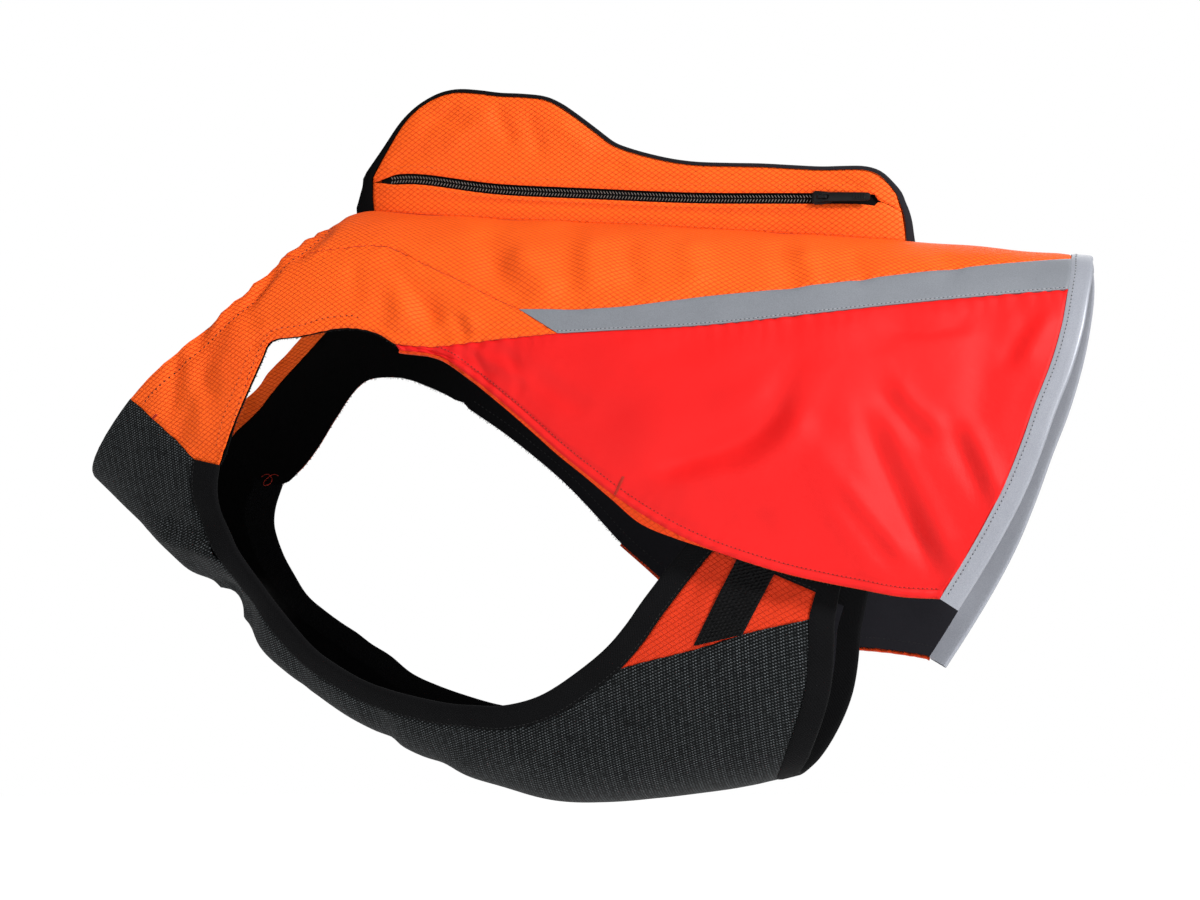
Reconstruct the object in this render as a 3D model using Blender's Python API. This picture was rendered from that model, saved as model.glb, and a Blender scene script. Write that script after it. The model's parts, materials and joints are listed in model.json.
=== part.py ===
"""Dog protective vest, filled out as if worn, with nobody in it.

Metres, +Z up. +X points to the tail and the dog's left side is -Y. The origin is
on the inside of the back, where the wearer's back carries the vest.

Every cloth piece is a flat pattern laid on one worn form. A pattern point has a
place, which counts the sections from the neck to the tail, and a turn, which is
the angle round the section: 0 at the spine, pi at the keel under the belly. The
tables give real sizes in millimetres, as the vest is seen from its left side.
"""
import math
from collections import namedtuple

import bmesh
import bpy
import numpy as np
from mathutils import Vector
from mathutils.bvhtree import BVHTree

MM = 0.001

# ---------------------------------------------------------------- driving sizes
SEAM_GAP = 0.4            # between two pieces sewn edge to edge
LAYER_GAP = 0.35          # between a panel and the lining behind it
CLOTH = 1.2               # outer cloth
LINING = 1.1              # lining cloth
KNIT = 1.8                # ribbed chest knit
BINDING_WIDTH = 15.0      # black edge binding
BINDING_OUT = 2.2         # how far the binding stands out of the form
BINDING_IN = -1.7         # and how far it reaches in behind the lining
HEM_TAPE_WIDTH = 12.5     # reflective tape folded round the rear hem
HEM_TAPE_OUT = 1.7
PIPING_WIDTH = 1.7        # orange edge that peeks out below the flap
NECK_TURN = 5.5           # turned hem inside the neck
NECK_TURN_GAP = 1.0       # between the turned hem and the lining
WEBBING = 1.4
FLAP_LIFT = 8.0           # the side flap stands off the belly wing
WING_SINK = 5.0           # and the wing lies that much inside the form
SPINE_TURN = 4e-4         # the back panels stop just short of the spine

# A row for each section of the worn form, from the neck to past the rear hem.
Section = namedtuple("Section", "top_x top_z keel_x keel_z half_width corner egg")
SECTIONS = [
    Section(-198, 10, -376, -151, 69, 1.15, 0.12),
    Section(-184, 19, -322, -202, 72, 1.05, 0.20),
    Section(-158, 17, -245, -278, 80, 0.95, 0.20),
    Section(-105, 11, -152, -335, 88, 0.88, 0.10),
    Section(-35, 5, -60, -366, 93, 0.85, 0.05),
    Section(45, -3, 15, -365, 94, 0.85, 0.00),
    Section(125, -11, 75, -356, 90, 0.85, 0.00),
    Section(205, -20, 120, -345, 82, 0.85, 0.00),
    Section(289, -31, 165, -333, 74, 0.85, 0.00),
    Section(345, -38, 205, -323, 70, 0.85, 0.00),
]

# Sewn and cut edges, as (x, z) seen from the left side.
BACK_SEAM = [(-229, -19), (-193, -16), (-157, -15), (-126, -30), (-62, -63)]
STRIPE_POINT = [(-62, -63), (-36, -80)]
STRIPE_TOP = [(-62, -63), (-4, -66), (52, -62), (113, -58), (174, -51), (234, -44), (277, -39)]
STRIPE_BOTTOM = [(-36, -80), (53, -78), (114, -73), (174, -67), (234, -62), (276, -59)]
RED_SEAM = [(-141, -83), (-112, -86), (-94, -84), (-36, -80)]
SHOULDER_HEM = [(-322, -110), (-303, -131), (-284, -149), (-265, -154)]
ARCH = [(-265, -154), (-252, -127), (-241, -106), (-233, -90), (-226, -77),
        (-208, -75), (-180, -71), (-157, -74), (-141, -83)]
FLAP_FRONT = [(-138, -87), (-110, -93), (-71, -122), (-32, -156)]
FLAP_REAR = [(-32, -156), (1, -182), (30, -201), (60, -216), (106, -231), (150, -240),
             (195, -248)]
HEM_TOP = [(289, -31), (290, -37), (288, -60)]
HEM_LOWER = [(288, -60), (284, -84), (276, -112), (265, -140), (251, -177),
             (230, -216), (206, -252)]
LEG_HOLE = [(-267, -156), (-268, -181), (-260, -202), (-241, -229), (-216, -261),
            (-196, -279), (-168, -294), (-129, -305), (-90, -310), (-50, -304),
            (-6, -276), (17, -249), (36, -225), (54, -204)]
WING_ROW = 10             # the row of LEG_HOLE where the wing starts
WING_SEAM = [(7, -284), (25, -279), (52, -272), (83, -262), (118, -254)]
WING_TOP = [(54, -204), (95, -217), (140, -229)]
WING_CORNER = (123, -243)
BELLY_REAR_WING = [(140, -229), (136, -246), (133, -260)]
BELLY_REAR_CHEST = [(133, -260), (131, -285), (127, -305), (118, -327)]
BELLY_KEEL_X = 101.0
WEBBING_FRONT = [(49, -273), (107, -166)]
WEBBING_REAR = [(81, -263), (129, -178)]
NECK_CORNER_TURN = math.radians(118)

# On the right side the flap hangs lower: (x, drop). Its other edges differ a little.
RIGHT_DROP = [(-138, 14), (-110, 28), (-71, 32), (-32, 40), (24, 44), (60, 44),
              (106, 34), (150, 29), (206, 28)]
RIGHT_HEM_SHIFT = (-18, -28)
RIGHT_ARCH = [(-265, -154), (-254, -144), (-243, -128), (-232, -108), (-219, -88),
              (-206, -79), (-184, -79), (-160, -88), (-141, -97)]
RIGHT_RED_SEAM = [(-141, -97), (-112, -93), (-94, -88), (-36, -80)]
RIGHT_HOLE_RISE = [(-270, 0), (-241, -3), (-222, 6), (-209, 13), (-185, 14), (-166, 8),
                   (-122, 3), (-90, 0)]
NECK_SCOOP = 0.26         # the neck edge is cut back by this share of a section
RIGHT_NECK_BACK = 0.35    # and hangs this much further back on the right

# Soft folds: side, ends in the side view, depth in, half width.
Fold = namedtuple("Fold", "side x0 z0 x1 z1 depth half_width")
LEFT, BOTH, RIGHT = 1, 0, -1
OUTER_FOLDS = [
    Fold(LEFT, 118, -138, 60, -178, 3.5, 12),
    Fold(LEFT, 165, -128, 192, -228, 4.5, 13),
    Fold(LEFT, 130, -165, 158, -230, -3.0, 12),
    Fold(LEFT, 230, -90, 214, -160, 2.5, 12),
    Fold(LEFT, -90, -12, -78, -52, 3.0, 11),
    Fold(LEFT, -40, -8, -28, -58, 3.0, 12),
    Fold(LEFT, -128, -42, -112, -78, 3.5, 9),
    Fold(LEFT, -150, -30, -150, -66, 3.0, 9),
    Fold(LEFT, -262, -60, -285, -118, 3.0, 9),
    Fold(RIGHT, 110, -150, 60, -205, 3.5, 12),
    Fold(RIGHT, 170, -140, 186, -235, 4.5, 14),
    Fold(RIGHT, 225, -95, 208, -175, 2.5, 12),
    Fold(RIGHT, -84, -14, -70, -54, 3.0, 11),
    Fold(RIGHT, -30, -10, -20, -58, 2.5, 12),
    Fold(RIGHT, -130, -40, -112, -78, 3.0, 9),
    Fold(RIGHT, -258, -64, -280, -122, 3.0, 9),
]
KNIT_FOLDS = [
    Fold(BOTH, -318, -176, -262, -196, 3.0, 9),
    Fold(BOTH, -292, -230, -264, -250, 17.0, 15),
    Fold(BOTH, -128, -345, -96, -318, 3.0, 10),
]

# Pocket that stands along the spine, zip on its left wall.
POCKET_OUTLINE = [(-182, 45), (-162, 79), (-143, 95), (-123, 100), (-95, 96), (-65, 92),
                  (-46, 81), (-25, 64), (-13, 56), (14, 47), (40, 42), (80, 39),
                  (119, 35), (145, 34), (158, 29), (168, 17)]
POCKET_FRONT = [(-181, 19), (-182, 32), (-182, 45)]
POCKET_REAR = [(174, -14), (173, 2), (168, 17)]
ZIP_LINE = [(-182, 41), (-150, 42), (-95, 34), (-27, 28), (40, 22), (105, 16), (152, 13),
            (171, 5)]
POCKET_EDGE_HALF = 3.0    # half thickness at the gusset
POCKET_BELLY_HALF = 9.0   # and well inside the outline
POCKET_EASE = 14.0
GUSSET_HALF = 3.6
GUSSET_PUFF = 1.2         # how far the gusset rounds out along the top
GUSSET_FRONT_PUFF = 10.0
GUSSET_REAR_PUFF = 2.5
GUSSET_FADE = 22.0
ZIP_GAP_HALF = 3.4        # half the opening that shows the coil
ZIP_TAPE_HALF = 7.5
ZIP_TAPE = 1.0
ZIP_CHAIN_HALF = 2.3
ZIP_CHAIN = 1.4
ZIP_STARTS = (-182, -160)  # the opening widens between these
ZIP_ENDS = (151, 157)      # and closes again between these
SLIDER_X = 121.0
SLIDER_LENGTH = 13.0
SLIDER_HALF_WIDTH = 4.6
SLIDER_HEIGHT = 2.4
BAIL_HALF_WIDTH = 0.9
BAIL_SPAN = 5.0
BAIL_HEIGHT = 2.0
BAIL_WIRE = 0.9
PULL_HALF_THICKNESS = 0.6
PULL_BAR_HEIGHT = 1.0
PULL_SLOT = 4.3
PULL_ARM = (1.3, 3.0)
PULL_LENGTH = 31.0

# ---------------------------------------------------------------- mesh steps
FRONT_COLUMNS = 16        # neck to the stripe's point: hem 3, arch 8, red seam 5
SEAM_COLUMNS = (0, 3, 7, 11, 16)          # columns of the back seam, and where they
SEAM_SHARES = (0, 0.09, 0.18, 0.45, 1)    # lie on it: closer together over the arch
RED_COLUMNS = 5
REAR_COLUMNS = 11
BACK_ROWS = 5
STRIPE_ROWS = 1
SIDE_ROWS = 8
SHOULDER_ROWS = 7
HOLE_STEPS = 2
CHEST_ROWS = 14
WING_COLUMNS = 7
POCKET_STEPS = 2

# ---------------------------------------------------------------- finishes
Finish = namedtuple("Finish", "color roughness metallic")
FINISHES = {
    "orange_ripstop": Finish((0.95, 0.13, 0.012), 0.60, 0.0),
    "red_satin": Finish((0.95, 0.03, 0.02), 0.50, 0.0),
    "reflective_tape": Finish((0.28, 0.29, 0.31), 0.45, 0.3),
    "charcoal_knit": Finish((0.030, 0.034, 0.038), 0.85, 0.0),
    "black_binding": Finish((0.008, 0.008, 0.009), 0.75, 0.0),
    "black_lining": Finish((0.010, 0.010, 0.012), 0.55, 0.0),
    "black_webbing": Finish((0.010, 0.010, 0.011), 0.60, 0.0),
    "black_nylon": Finish((0.012, 0.012, 0.014), 0.40, 0.0),
    "zip_metal": Finish((0.020, 0.020, 0.022), 0.35, 0.6),
}


def clear_scene():
    for old in list(bpy.data.objects):
        bpy.data.objects.remove(old, do_unlink=True)


def finish(name):
    material = bpy.data.materials.get(name)
    if material is None:
        material = bpy.data.materials.new(name)
        material.use_nodes = True
        shader = material.node_tree.nodes["Principled BSDF"]
        look = FINISHES[name]
        shader.inputs["Base Color"].default_value = (*look.color, 1.0)
        shader.inputs["Roughness"].default_value = look.roughness
        shader.inputs["Metallic"].default_value = look.metallic
    return material


def add_object(name, bm, look):
    """A closed bmesh becomes the named object, with its faces out."""
    bmesh.ops.recalc_face_normals(bm, faces=bm.faces)
    mesh = bpy.data.meshes.new(name)
    bm.to_mesh(mesh)
    bm.free()
    mesh.materials.append(finish(look))
    mesh.shade_smooth()
    mesh.set_sharp_from_angle(angle=math.radians(40))
    piece = bpy.data.objects.new(name, mesh)
    bpy.context.scene.collection.objects.link(piece)
    return piece


# ---------------------------------------------------------------- smooth curves
def smooth_rows(rows, at):
    """Rows of numbers read at any place between them, on a Catmull-Rom curve."""
    rows = np.asarray(rows, float)
    at = np.clip(np.asarray(at, float), 0.0, len(rows) - 1.0)
    first = np.minimum(at.astype(int), len(rows) - 2)
    step = (at - first)[..., None]
    padded = np.vstack([2 * rows[0] - rows[1], rows, 2 * rows[-1] - rows[-2]])
    a, b, c, d = (padded[first + k] for k in range(4))
    cubic = 2 * a - 5 * b + 4 * c - d + step * (3 * (b - c) + d - a)
    return b + 0.5 * step * ((c - a) + step * cubic)


def smooth_step(value):
    value = np.clip(value, 0.0, 1.0)
    return value * value * (3.0 - 2.0 * value)


def divided(points, parts):
    """Points of the smooth curve: a number of even parts, or shares of its length."""
    fine = smooth_rows(points, np.linspace(0, len(points) - 1, 40 * len(points)))
    length = np.r_[0, np.cumsum(np.linalg.norm(np.diff(fine, axis=0), axis=1))]
    shares = np.linspace(0, 1, parts + 1) if np.isscalar(parts) else parts
    wanted = shares * length[-1]
    return np.stack([np.interp(wanted, length, fine[:, k]) for k in range(2)], -1)


def straight(start, end, segments):
    return np.linspace(start, end, segments + 1)


# ---------------------------------------------------------------- the worn form
def form_point(pattern):
    """Point of the form in metres for each (place, turn)."""
    place, turn = pattern[..., 0], pattern[..., 1]
    row = smooth_rows(SECTIONS, place)
    top_x, top_z, keel_x, keel_z, half_width, corner, egg = np.moveaxis(row, -1, 0)
    up, side = np.cos(turn), np.sin(turn)
    x = (top_x + keel_x) / 2 + (top_x - keel_x) / 2 * up
    z = (top_z + keel_z) / 2 + (top_z - keel_z) / 2 * up
    y = -half_width * np.sign(side) * np.abs(side) ** corner * (1 + egg * up)
    return np.stack([x, y, z], -1) * MM


def form_slopes(pattern):
    """How the form's point moves with place and with turn."""
    step = 0.02
    inside = np.array(pattern, float)
    inside[..., 0] = np.clip(inside[..., 0], step, len(SECTIONS) - 1 - step)
    along = form_point(inside + [step, 0]) - form_point(inside - [step, 0])
    around = form_point(inside + [0, step]) - form_point(inside - [0, step])
    return along / (2 * step), around / (2 * step)


def form_normal(pattern):
    along, around = form_slopes(pattern)
    normal = np.cross(around, along)
    return normal / np.linalg.norm(normal, axis=-1, keepdims=True)


def to_pattern(x, z):
    """The (place, turn) of a side-view point in millimetres, on the left side."""
    places = np.linspace(0, len(SECTIONS) - 1, 1801)
    row = smooth_rows(SECTIONS, places)
    off = (x - row[:, 0]) * (row[:, 3] - row[:, 1]) - (z - row[:, 1]) * (row[:, 2] - row[:, 0])
    crossing = np.where(np.sign(off[:-1]) != np.sign(off[1:]))[0]
    if len(crossing):
        k = crossing[0]
        place = places[k] + (places[k + 1] - places[k]) * off[k] / (off[k] - off[k + 1])
    else:
        place = places[np.argmin(np.abs(off))]
    top_z, keel_z = smooth_rows(SECTIONS, place)[[1, 3]]
    up = np.clip((2 * z - top_z - keel_z) / (top_z - keel_z), -1.0, 1.0)
    return place, math.acos(up)


def on_form(side_view):
    return np.array([to_pattern(x, z) for x, z in side_view])


def edge(points, parts):
    """A sewn edge in (place, turn), divided as it is seen from the side."""
    return on_form(divided(points, parts))


def moved_in(curve, distance):
    """The curve moved over the form by a distance in mm, to the right of its run."""
    curve = np.array(curve, float)
    steps = 3
    for _ in range(steps):
        tangent = np.gradient(form_point(curve), axis=0)
        across = np.cross(tangent, form_normal(curve))
        across /= np.linalg.norm(across, axis=1, keepdims=True)
        along, around = form_slopes(curve)
        for k, move in enumerate(across * distance * MM / steps):
            slopes = np.stack([along[k], around[k]], -1)
            curve[k] += np.linalg.lstsq(slopes, move, rcond=None)[0]
    return curve


def eased(curve, start, end):
    """The curve with its ends moved to the given points, and the rest in proportion."""
    share = np.linspace(0, 1, len(curve))[:, None]
    return curve + (1 - share) * (start - curve[0]) + share * (end - curve[-1])


def between(bottom, top, left, right):
    """A patch with four named edges: the grid that blends them (a Coons patch)."""
    u = np.linspace(0, 1, len(bottom))[:, None, None]
    v = np.linspace(0, 1, len(left))[None, :, None]
    ruled_v = (1 - v) * bottom[:, None] + v * top[:, None]
    ruled_u = (1 - u) * left[None] + u * right[None]
    corners = ((1 - u) * (1 - v) * bottom[0] + u * (1 - v) * bottom[-1]
               + (1 - u) * v * top[0] + u * v * top[-1])
    return ruled_v + ruled_u - corners


def strip(first, second, rows=1):
    """A narrow patch between two edges."""
    share = np.linspace(0, 1, rows + 1)[None, :, None]
    return (1 - share) * first[:, None] + share * second[:, None]


# ---------------------------------------------------------------- relief
def fold_depth(pattern, folds):
    """How far the folds press the cloth in, in mm."""
    side_view = form_point(pattern)[..., [0, 2]] / MM
    side = np.where(np.sin(pattern[..., 1]) >= 0, LEFT, RIGHT)
    total = np.zeros(side.shape)
    for fold in folds:
        start = np.array([fold.x0, fold.z0])
        run = np.array([fold.x1, fold.z1]) - start
        offset = side_view - start
        share = np.clip(offset @ run / (run @ run), 0, 1)
        away = np.linalg.norm(offset - share[..., None] * run, axis=-1)
        fade = np.sin(np.pi * np.clip(share, 0.12, 0.88)) ** 0.5
        dent = fold.depth * fade * np.exp(-(away / fold.half_width) ** 2)
        total += np.where((fold.side == BOTH) | (fold.side == side), dent, 0.0)
    return total


def outer_relief(pattern):
    """The flap stands away from the form behind the leg and towards its edge."""
    place, turn = pattern[..., 0], np.abs(pattern[..., 1])
    behind_leg = smooth_step((place - 3.0) / 2.0)
    down = smooth_step((turn - math.radians(55)) / math.radians(55))
    return FLAP_LIFT * behind_leg * down - fold_depth(pattern, OUTER_FOLDS)


def inner_relief(pattern):
    """The wing lies inside the form where the flap covers it."""
    place, turn = pattern[..., 0], np.abs(pattern[..., 1])
    turn = np.where(turn > math.pi, 2 * math.pi - turn, turn)
    on_wing = smooth_step((place - 4.2) / 0.8)
    up = smooth_step((math.radians(128) - turn) / math.radians(26))
    return -WING_SINK * on_wing * up - fold_depth(pattern, KNIT_FOLDS)


def webbing_relief(pattern):
    """The strap lies on the wing, climbs its binding and ends against the flap lining."""
    turn = np.abs(pattern[..., 1])
    over_binding = smooth_step((math.radians(114) - turn) / math.radians(4))
    up_to_flap = smooth_step((math.radians(101) - turn) / math.radians(9))
    on_wing = inner_relief(pattern) + (BINDING_OUT - CLOTH) * over_binding
    under_flap = outer_relief(pattern) - 2 * LAYER_GAP - LINING - WEBBING - CLOTH - 1.4
    return (1 - up_to_flap) * on_wing + up_to_flap * under_flap


# ---------------------------------------------------------------- cloth
def flat_pattern(patches):
    """One flat mesh in (place, turn) from patches that share their edge points."""
    bm = bmesh.new()
    for patch in patches:
        columns, rows = patch.shape[0] - 1, patch.shape[1] - 1
        made = bmesh.ops.create_grid(bm, x_segments=columns, y_segments=rows, size=0.5)
        for vert in made["verts"]:
            column = round((vert.co.x + 0.5) * columns)
            row = round((vert.co.y + 0.5) * rows)
            vert.co = (*patch[column, row], 0.0)
    bmesh.ops.remove_doubles(bm, verts=bm.verts, dist=1e-5)
    bm.verts.index_update()
    return bm


def seam_pull(bm, points, normals, distance):
    """Moves that draw the border points in from the seam by a distance in mm."""
    pulls = {}
    for border in (e for e in bm.edges if e.is_boundary):
        a, b = (v.index for v in border.verts)
        centre = np.mean([points[v.index] for v in border.link_faces[0].verts], axis=0)
        across = np.cross(normals[a] + normals[b], points[b] - points[a])
        across /= np.linalg.norm(across)
        if across @ (centre - points[a]) < 0:
            across = -across
        pulls.setdefault(a, []).append(across)
        pulls.setdefault(b, []).append(across)
    moves = np.zeros_like(points)
    for index, (first, *_, last) in pulls.items():
        moves[index] = (first + last) / max(1 + first @ last, 0.35) * distance * MM
    return moves


def thicken(bm, inner, outer):
    """Extrude a sheet to a wall: its own points go to inner, the new ones to outer."""
    number = bm.verts.layers.int.new("number")
    for vert in bm.verts:
        vert[number] = vert.index
    bmesh.ops.triangulate(bm, faces=bm.faces, quad_method="FIXED")
    made = bmesh.ops.extrude_face_region(bm, geom=bm.faces[:], use_keep_orig=True)
    new = {item for item in made["geom"] if isinstance(item, bmesh.types.BMVert)}
    for vert in bm.verts:
        target = outer if vert in new else inner
        vert.co = target[vert[number]]


def cloth(name, patches, low, high, look, relief):
    """A closed cloth wall, from low to high mm out of the form."""
    bm = flat_pattern(patches)
    pattern = np.array([v.co[:2] for v in bm.verts], float)
    points, normals = form_point(pattern), form_normal(pattern)
    points = points + seam_pull(bm, points, normals, SEAM_GAP / 2)
    lift = relief(pattern)[:, None]
    thicken(bm, points + normals * (lift + low) * MM, points + normals * (lift + high) * MM)
    return add_object(name, bm, look)


def wall(name, inner, outer, look):
    """A closed wall between two grids of points in millimetres."""
    columns, rows = inner.shape[0] - 1, inner.shape[1] - 1
    bm = bmesh.new()
    bmesh.ops.create_grid(bm, x_segments=columns, y_segments=rows, size=0.5)
    bm.verts.index_update()
    pick = tuple(np.array([(round((v.co.x + 0.5) * columns), round((v.co.y + 0.5) * rows))
                           for v in bm.verts]).T)
    thicken(bm, inner[pick] * MM, outer[pick] * MM)
    return add_object(name, bm, look)


# ---------------------------------------------------------------- outer shell
HANDS = {"left": np.array([1, 1]), "right": np.array([1, -1])}


def dropped(points):
    """Side-view points of the right flap, which hangs lower."""
    table = np.array(RIGHT_DROP, float)
    return [(x, z - np.interp(x, table[:, 0], table[:, 1])) for x, z in points]


def rear_hem(flap):
    """The rear hem from the spine down to the flap's corner."""
    top = on_form(HEM_TOP)
    lower = np.array(HEM_LOWER, float)
    if flap == "right":
        share = (lower[:1, 1:] - lower[:, 1:]) / (lower[0, 1] - lower[-1, 1])
        lower = lower + share * RIGHT_HEM_SHIFT
    hem = np.vstack([straight(top[0], top[1], BACK_ROWS),
                     straight(top[1], top[2], STRIPE_ROWS)[1:],
                     edge(lower, SIDE_ROWS)[1:]])
    hem[0, 1] = SPINE_TURN
    return hem


def neck_edge(flap, turns):
    """The neck edge at the given turns, scooped out at the shoulder."""
    share = np.clip(turns / NECK_CORNER_TURN, 0, 1)
    place = NECK_SCOOP * np.sin(math.pi * share) ** 2
    if flap == "right":
        place = place + RIGHT_NECK_BACK * smooth_step((turns - 1.2) / 0.8)
    return np.stack([place, turns], -1)


def shell_patches(flap):
    """Patches of one side of the outer shell, all as if on the left."""
    front_edge, rear_edge, arch, red_seam = FLAP_FRONT, FLAP_REAR, ARCH, RED_SEAM
    if flap == "right":
        front_edge, rear_edge = dropped(FLAP_FRONT), dropped(FLAP_REAR)
        arch, red_seam = RIGHT_ARCH, RIGHT_RED_SEAM
    hem = rear_hem(flap)
    hem_seam = moved_in(hem, HEM_TAPE_WIDTH)
    hem_seam[0, 1] = SPINE_TURN
    stripe_row, side_row = BACK_ROWS, BACK_ROWS + STRIPE_ROWS

    shares = np.interp(np.arange(FRONT_COLUMNS + 1), SEAM_COLUMNS, SEAM_SHARES)
    back_seam = edge(BACK_SEAM, shares)
    neck_upper = neck_edge(flap, np.linspace(SPINE_TURN, back_seam[0, 1], BACK_ROWS + 1))
    neck_lower = neck_edge(flap, np.linspace(back_seam[0, 1], NECK_CORNER_TURN,
                                             SHOULDER_ROWS + 1))
    back_seam[0] = neck_upper[-1]
    stripe_point = straight(back_seam[-1], to_pattern(*STRIPE_POINT[1]), STRIPE_ROWS)
    stripe_top = eased(edge(STRIPE_TOP, REAR_COLUMNS), back_seam[-1], hem_seam[stripe_row])
    stripe_low = eased(edge(STRIPE_BOTTOM, REAR_COLUMNS), stripe_point[-1], hem_seam[side_row])
    arch = on_form(arch)
    red_seam = eased(edge(red_seam, RED_COLUMNS), arch[-1], stripe_point[-1])

    spine_places = np.r_[shares * back_seam[-1, 0],
                         np.linspace(back_seam[-1, 0], hem_seam[0, 0], REAR_COLUMNS + 1)[1:]]
    spine = np.stack([spine_places, np.full(len(spine_places), SPINE_TURN)], -1)
    spine[0] = neck_upper[0]
    shoulder_hem = on_form(SHOULDER_HEM)
    shoulder_hem[0] = neck_lower[-1]
    shoulder_low = np.vstack([shoulder_hem, arch[1:], red_seam[1:]])
    flap_edge = np.vstack([edge(front_edge, RED_COLUMNS), edge(rear_edge, REAR_COLUMNS)[1:]])
    flap_edge = np.vstack([flap_edge[:-1], hem_seam[-1:]])
    side_top = np.vstack([red_seam, stripe_low[1:]])
    piping_start = 0 if flap == "left" else RED_COLUMNS
    return {
        "back": between(spine, np.vstack([back_seam, stripe_top[1:]]),
                        neck_upper, hem_seam[:stripe_row + 1]),
        "shoulder": between(back_seam, shoulder_low, neck_lower,
                            straight(back_seam[-1], red_seam[-1], SHOULDER_ROWS)),
        "stripe": between(stripe_top, stripe_low, stripe_point,
                          hem_seam[stripe_row:side_row + 1]),
        "side": between(side_top, flap_edge, straight(side_top[0], flap_edge[0], SIDE_ROWS),
                        hem_seam[side_row:]),
        "hem_tape": strip(hem_seam, hem),
        "piping": strip(flap_edge, moved_in(flap_edge, PIPING_WIDTH))[piping_start:],
        "neck_turn": strip(np.vstack([neck_upper, neck_lower[1:]]),
                           moved_in(np.vstack([neck_upper, neck_lower[1:]]), -NECK_TURN)),
        "shoulder_hem": shoulder_hem,
    }


# ---------------------------------------------------------------- chest and wings
def across_keel(half):
    """A half edge, ending on the keel, and its mirror image carried on past it."""
    return np.vstack([half, half[-2::-1] * [1, -1] + [0, 2 * math.pi]])


def wing_patches(side, shoulder_hem):
    """The leg hole, the belly wing and their bindings, all as if on the left."""
    table = smooth_rows(LEG_HOLE, np.linspace(0, len(LEG_HOLE) - 1,
                                              (len(LEG_HOLE) - 1) * HOLE_STEPS + 1))
    if side == "right":
        rise = np.array(RIGHT_HOLE_RISE, float)
        low = table[:, 1] < -200
        table[low, 1] += np.interp(table[low, 0], rise[:, 0], rise[:, 1])
    hole = on_form(table)
    hole[0] = shoulder_hem[3]
    border = moved_in(hole, BINDING_WIDTH)
    border = eased(border, shoulder_hem[2], border[-1])
    start = WING_ROW * HOLE_STEPS
    wing_rows = len(hole) - 1 - start

    top = edge(WING_TOP, WING_COLUMNS)
    top[0] = hole[-1]
    keel_place = np.interp(BELLY_KEEL_X, [s.keel_x for s in SECTIONS], range(len(SECTIONS)))
    rear_low = np.vstack([on_form(BELLY_REAR_CHEST), [(keel_place, math.pi)]])
    rear_low = smooth_rows(rear_low, np.linspace(0, len(rear_low) - 1, CHEST_ROWS // 2 + 1))
    rear = np.vstack([edge(BELLY_REAR_WING, wing_rows)[:-1], rear_low])
    rear_border = moved_in(rear, BINDING_WIDTH)
    rear_border[-1, 1] = math.pi
    corner = np.array(to_pattern(*WING_CORNER))
    rear_wing = eased(rear_border[:wing_rows + 1], corner, rear_border[wing_rows])
    rear_border = np.vstack([rear_wing, rear_border[wing_rows + 1:]])
    top_border = eased(moved_in(top, BINDING_WIDTH), border[-1], corner)
    wing_seam = eased(edge(WING_SEAM, WING_COLUMNS), border[start], rear_border[wing_rows])
    return {
        "chest_edge": np.vstack([shoulder_hem[:2], border[:start + 1], wing_seam[1:]]),
        "chest_rear": across_keel(rear_border[wing_rows:]),
        "wing": between(wing_seam, top_border, border[start:], rear_wing[::-1]),
        "leg_binding": strip(border, hole),
        "wing_binding": strip(top_border, top),
        "rear_binding": strip(across_keel(rear_border), across_keel(rear)),
        "webbing": strip(edge(WEBBING_FRONT, 10), edge(WEBBING_REAR, 10), 2),
    }


def chest_patch(left, right):
    """The chest, from the left leg hole and wing round the keel to the right ones."""
    other = right["chest_edge"] * [1, -1] + [0, 2 * math.pi]
    front = straight(left["chest_edge"][0], other[0], CHEST_ROWS)
    back_set = smooth_step((front[:, 1] - math.pi) / (front[-1, 1] - math.pi))
    front[:, 0] = front[-1, 0] * back_set
    return between(left["chest_edge"], other, front, left["chest_rear"])


def make_shell(side, patches):
    """The outer cloth, lining and trims of one side."""
    lining_low = -LAYER_GAP - LINING
    shell = [patches[name] for name in ("back", "shoulder", "stripe", "side")]
    pieces = [
        ("back_panel", [patches["back"]], 0, CLOTH, "orange_ripstop"),
        ("shoulder_panel", [patches["shoulder"]], 0, CLOTH, "orange_ripstop"),
        ("side_panel", [patches["side"]], 0, CLOTH, "red_satin"),
        ("reflective_stripe", [patches["stripe"]], 0, CLOTH + 0.3, "reflective_tape"),
        ("hem_tape", [patches["hem_tape"]], BINDING_IN, HEM_TAPE_OUT, "reflective_tape"),
        ("edge_piping", [patches["piping"]], lining_low, 0.4, "orange_ripstop"),
        ("lining", shell, lining_low, -LAYER_GAP, "black_lining"),
        ("neck_facing", [patches["neck_turn"]], lining_low - NECK_TURN_GAP - 1.0,
         lining_low - NECK_TURN_GAP, "orange_ripstop"),
    ]
    for name, parts, low, high, look in pieces:
        cloth(f"{name}_{side}", parts, low, high, look, outer_relief)


def make_wing(side, patches, hand):
    """The belly wing of one side, its bindings and its strap."""
    strap_low = CLOTH + LAYER_GAP + 0.1
    pieces = [
        ("belly_wing", "wing", 0, CLOTH, "orange_ripstop", inner_relief),
        ("leg_binding", "leg_binding", BINDING_IN, BINDING_OUT, "black_binding", inner_relief),
        ("wing_binding", "wing_binding", BINDING_IN, BINDING_OUT, "black_binding", inner_relief),
        ("webbing", "webbing", strap_low, strap_low + WEBBING, "black_webbing", webbing_relief),
    ]
    for name, patch, low, high, look, relief in pieces:
        cloth(f"{name}_{side}", [patches[patch] * hand], low, high, look, relief)


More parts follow.
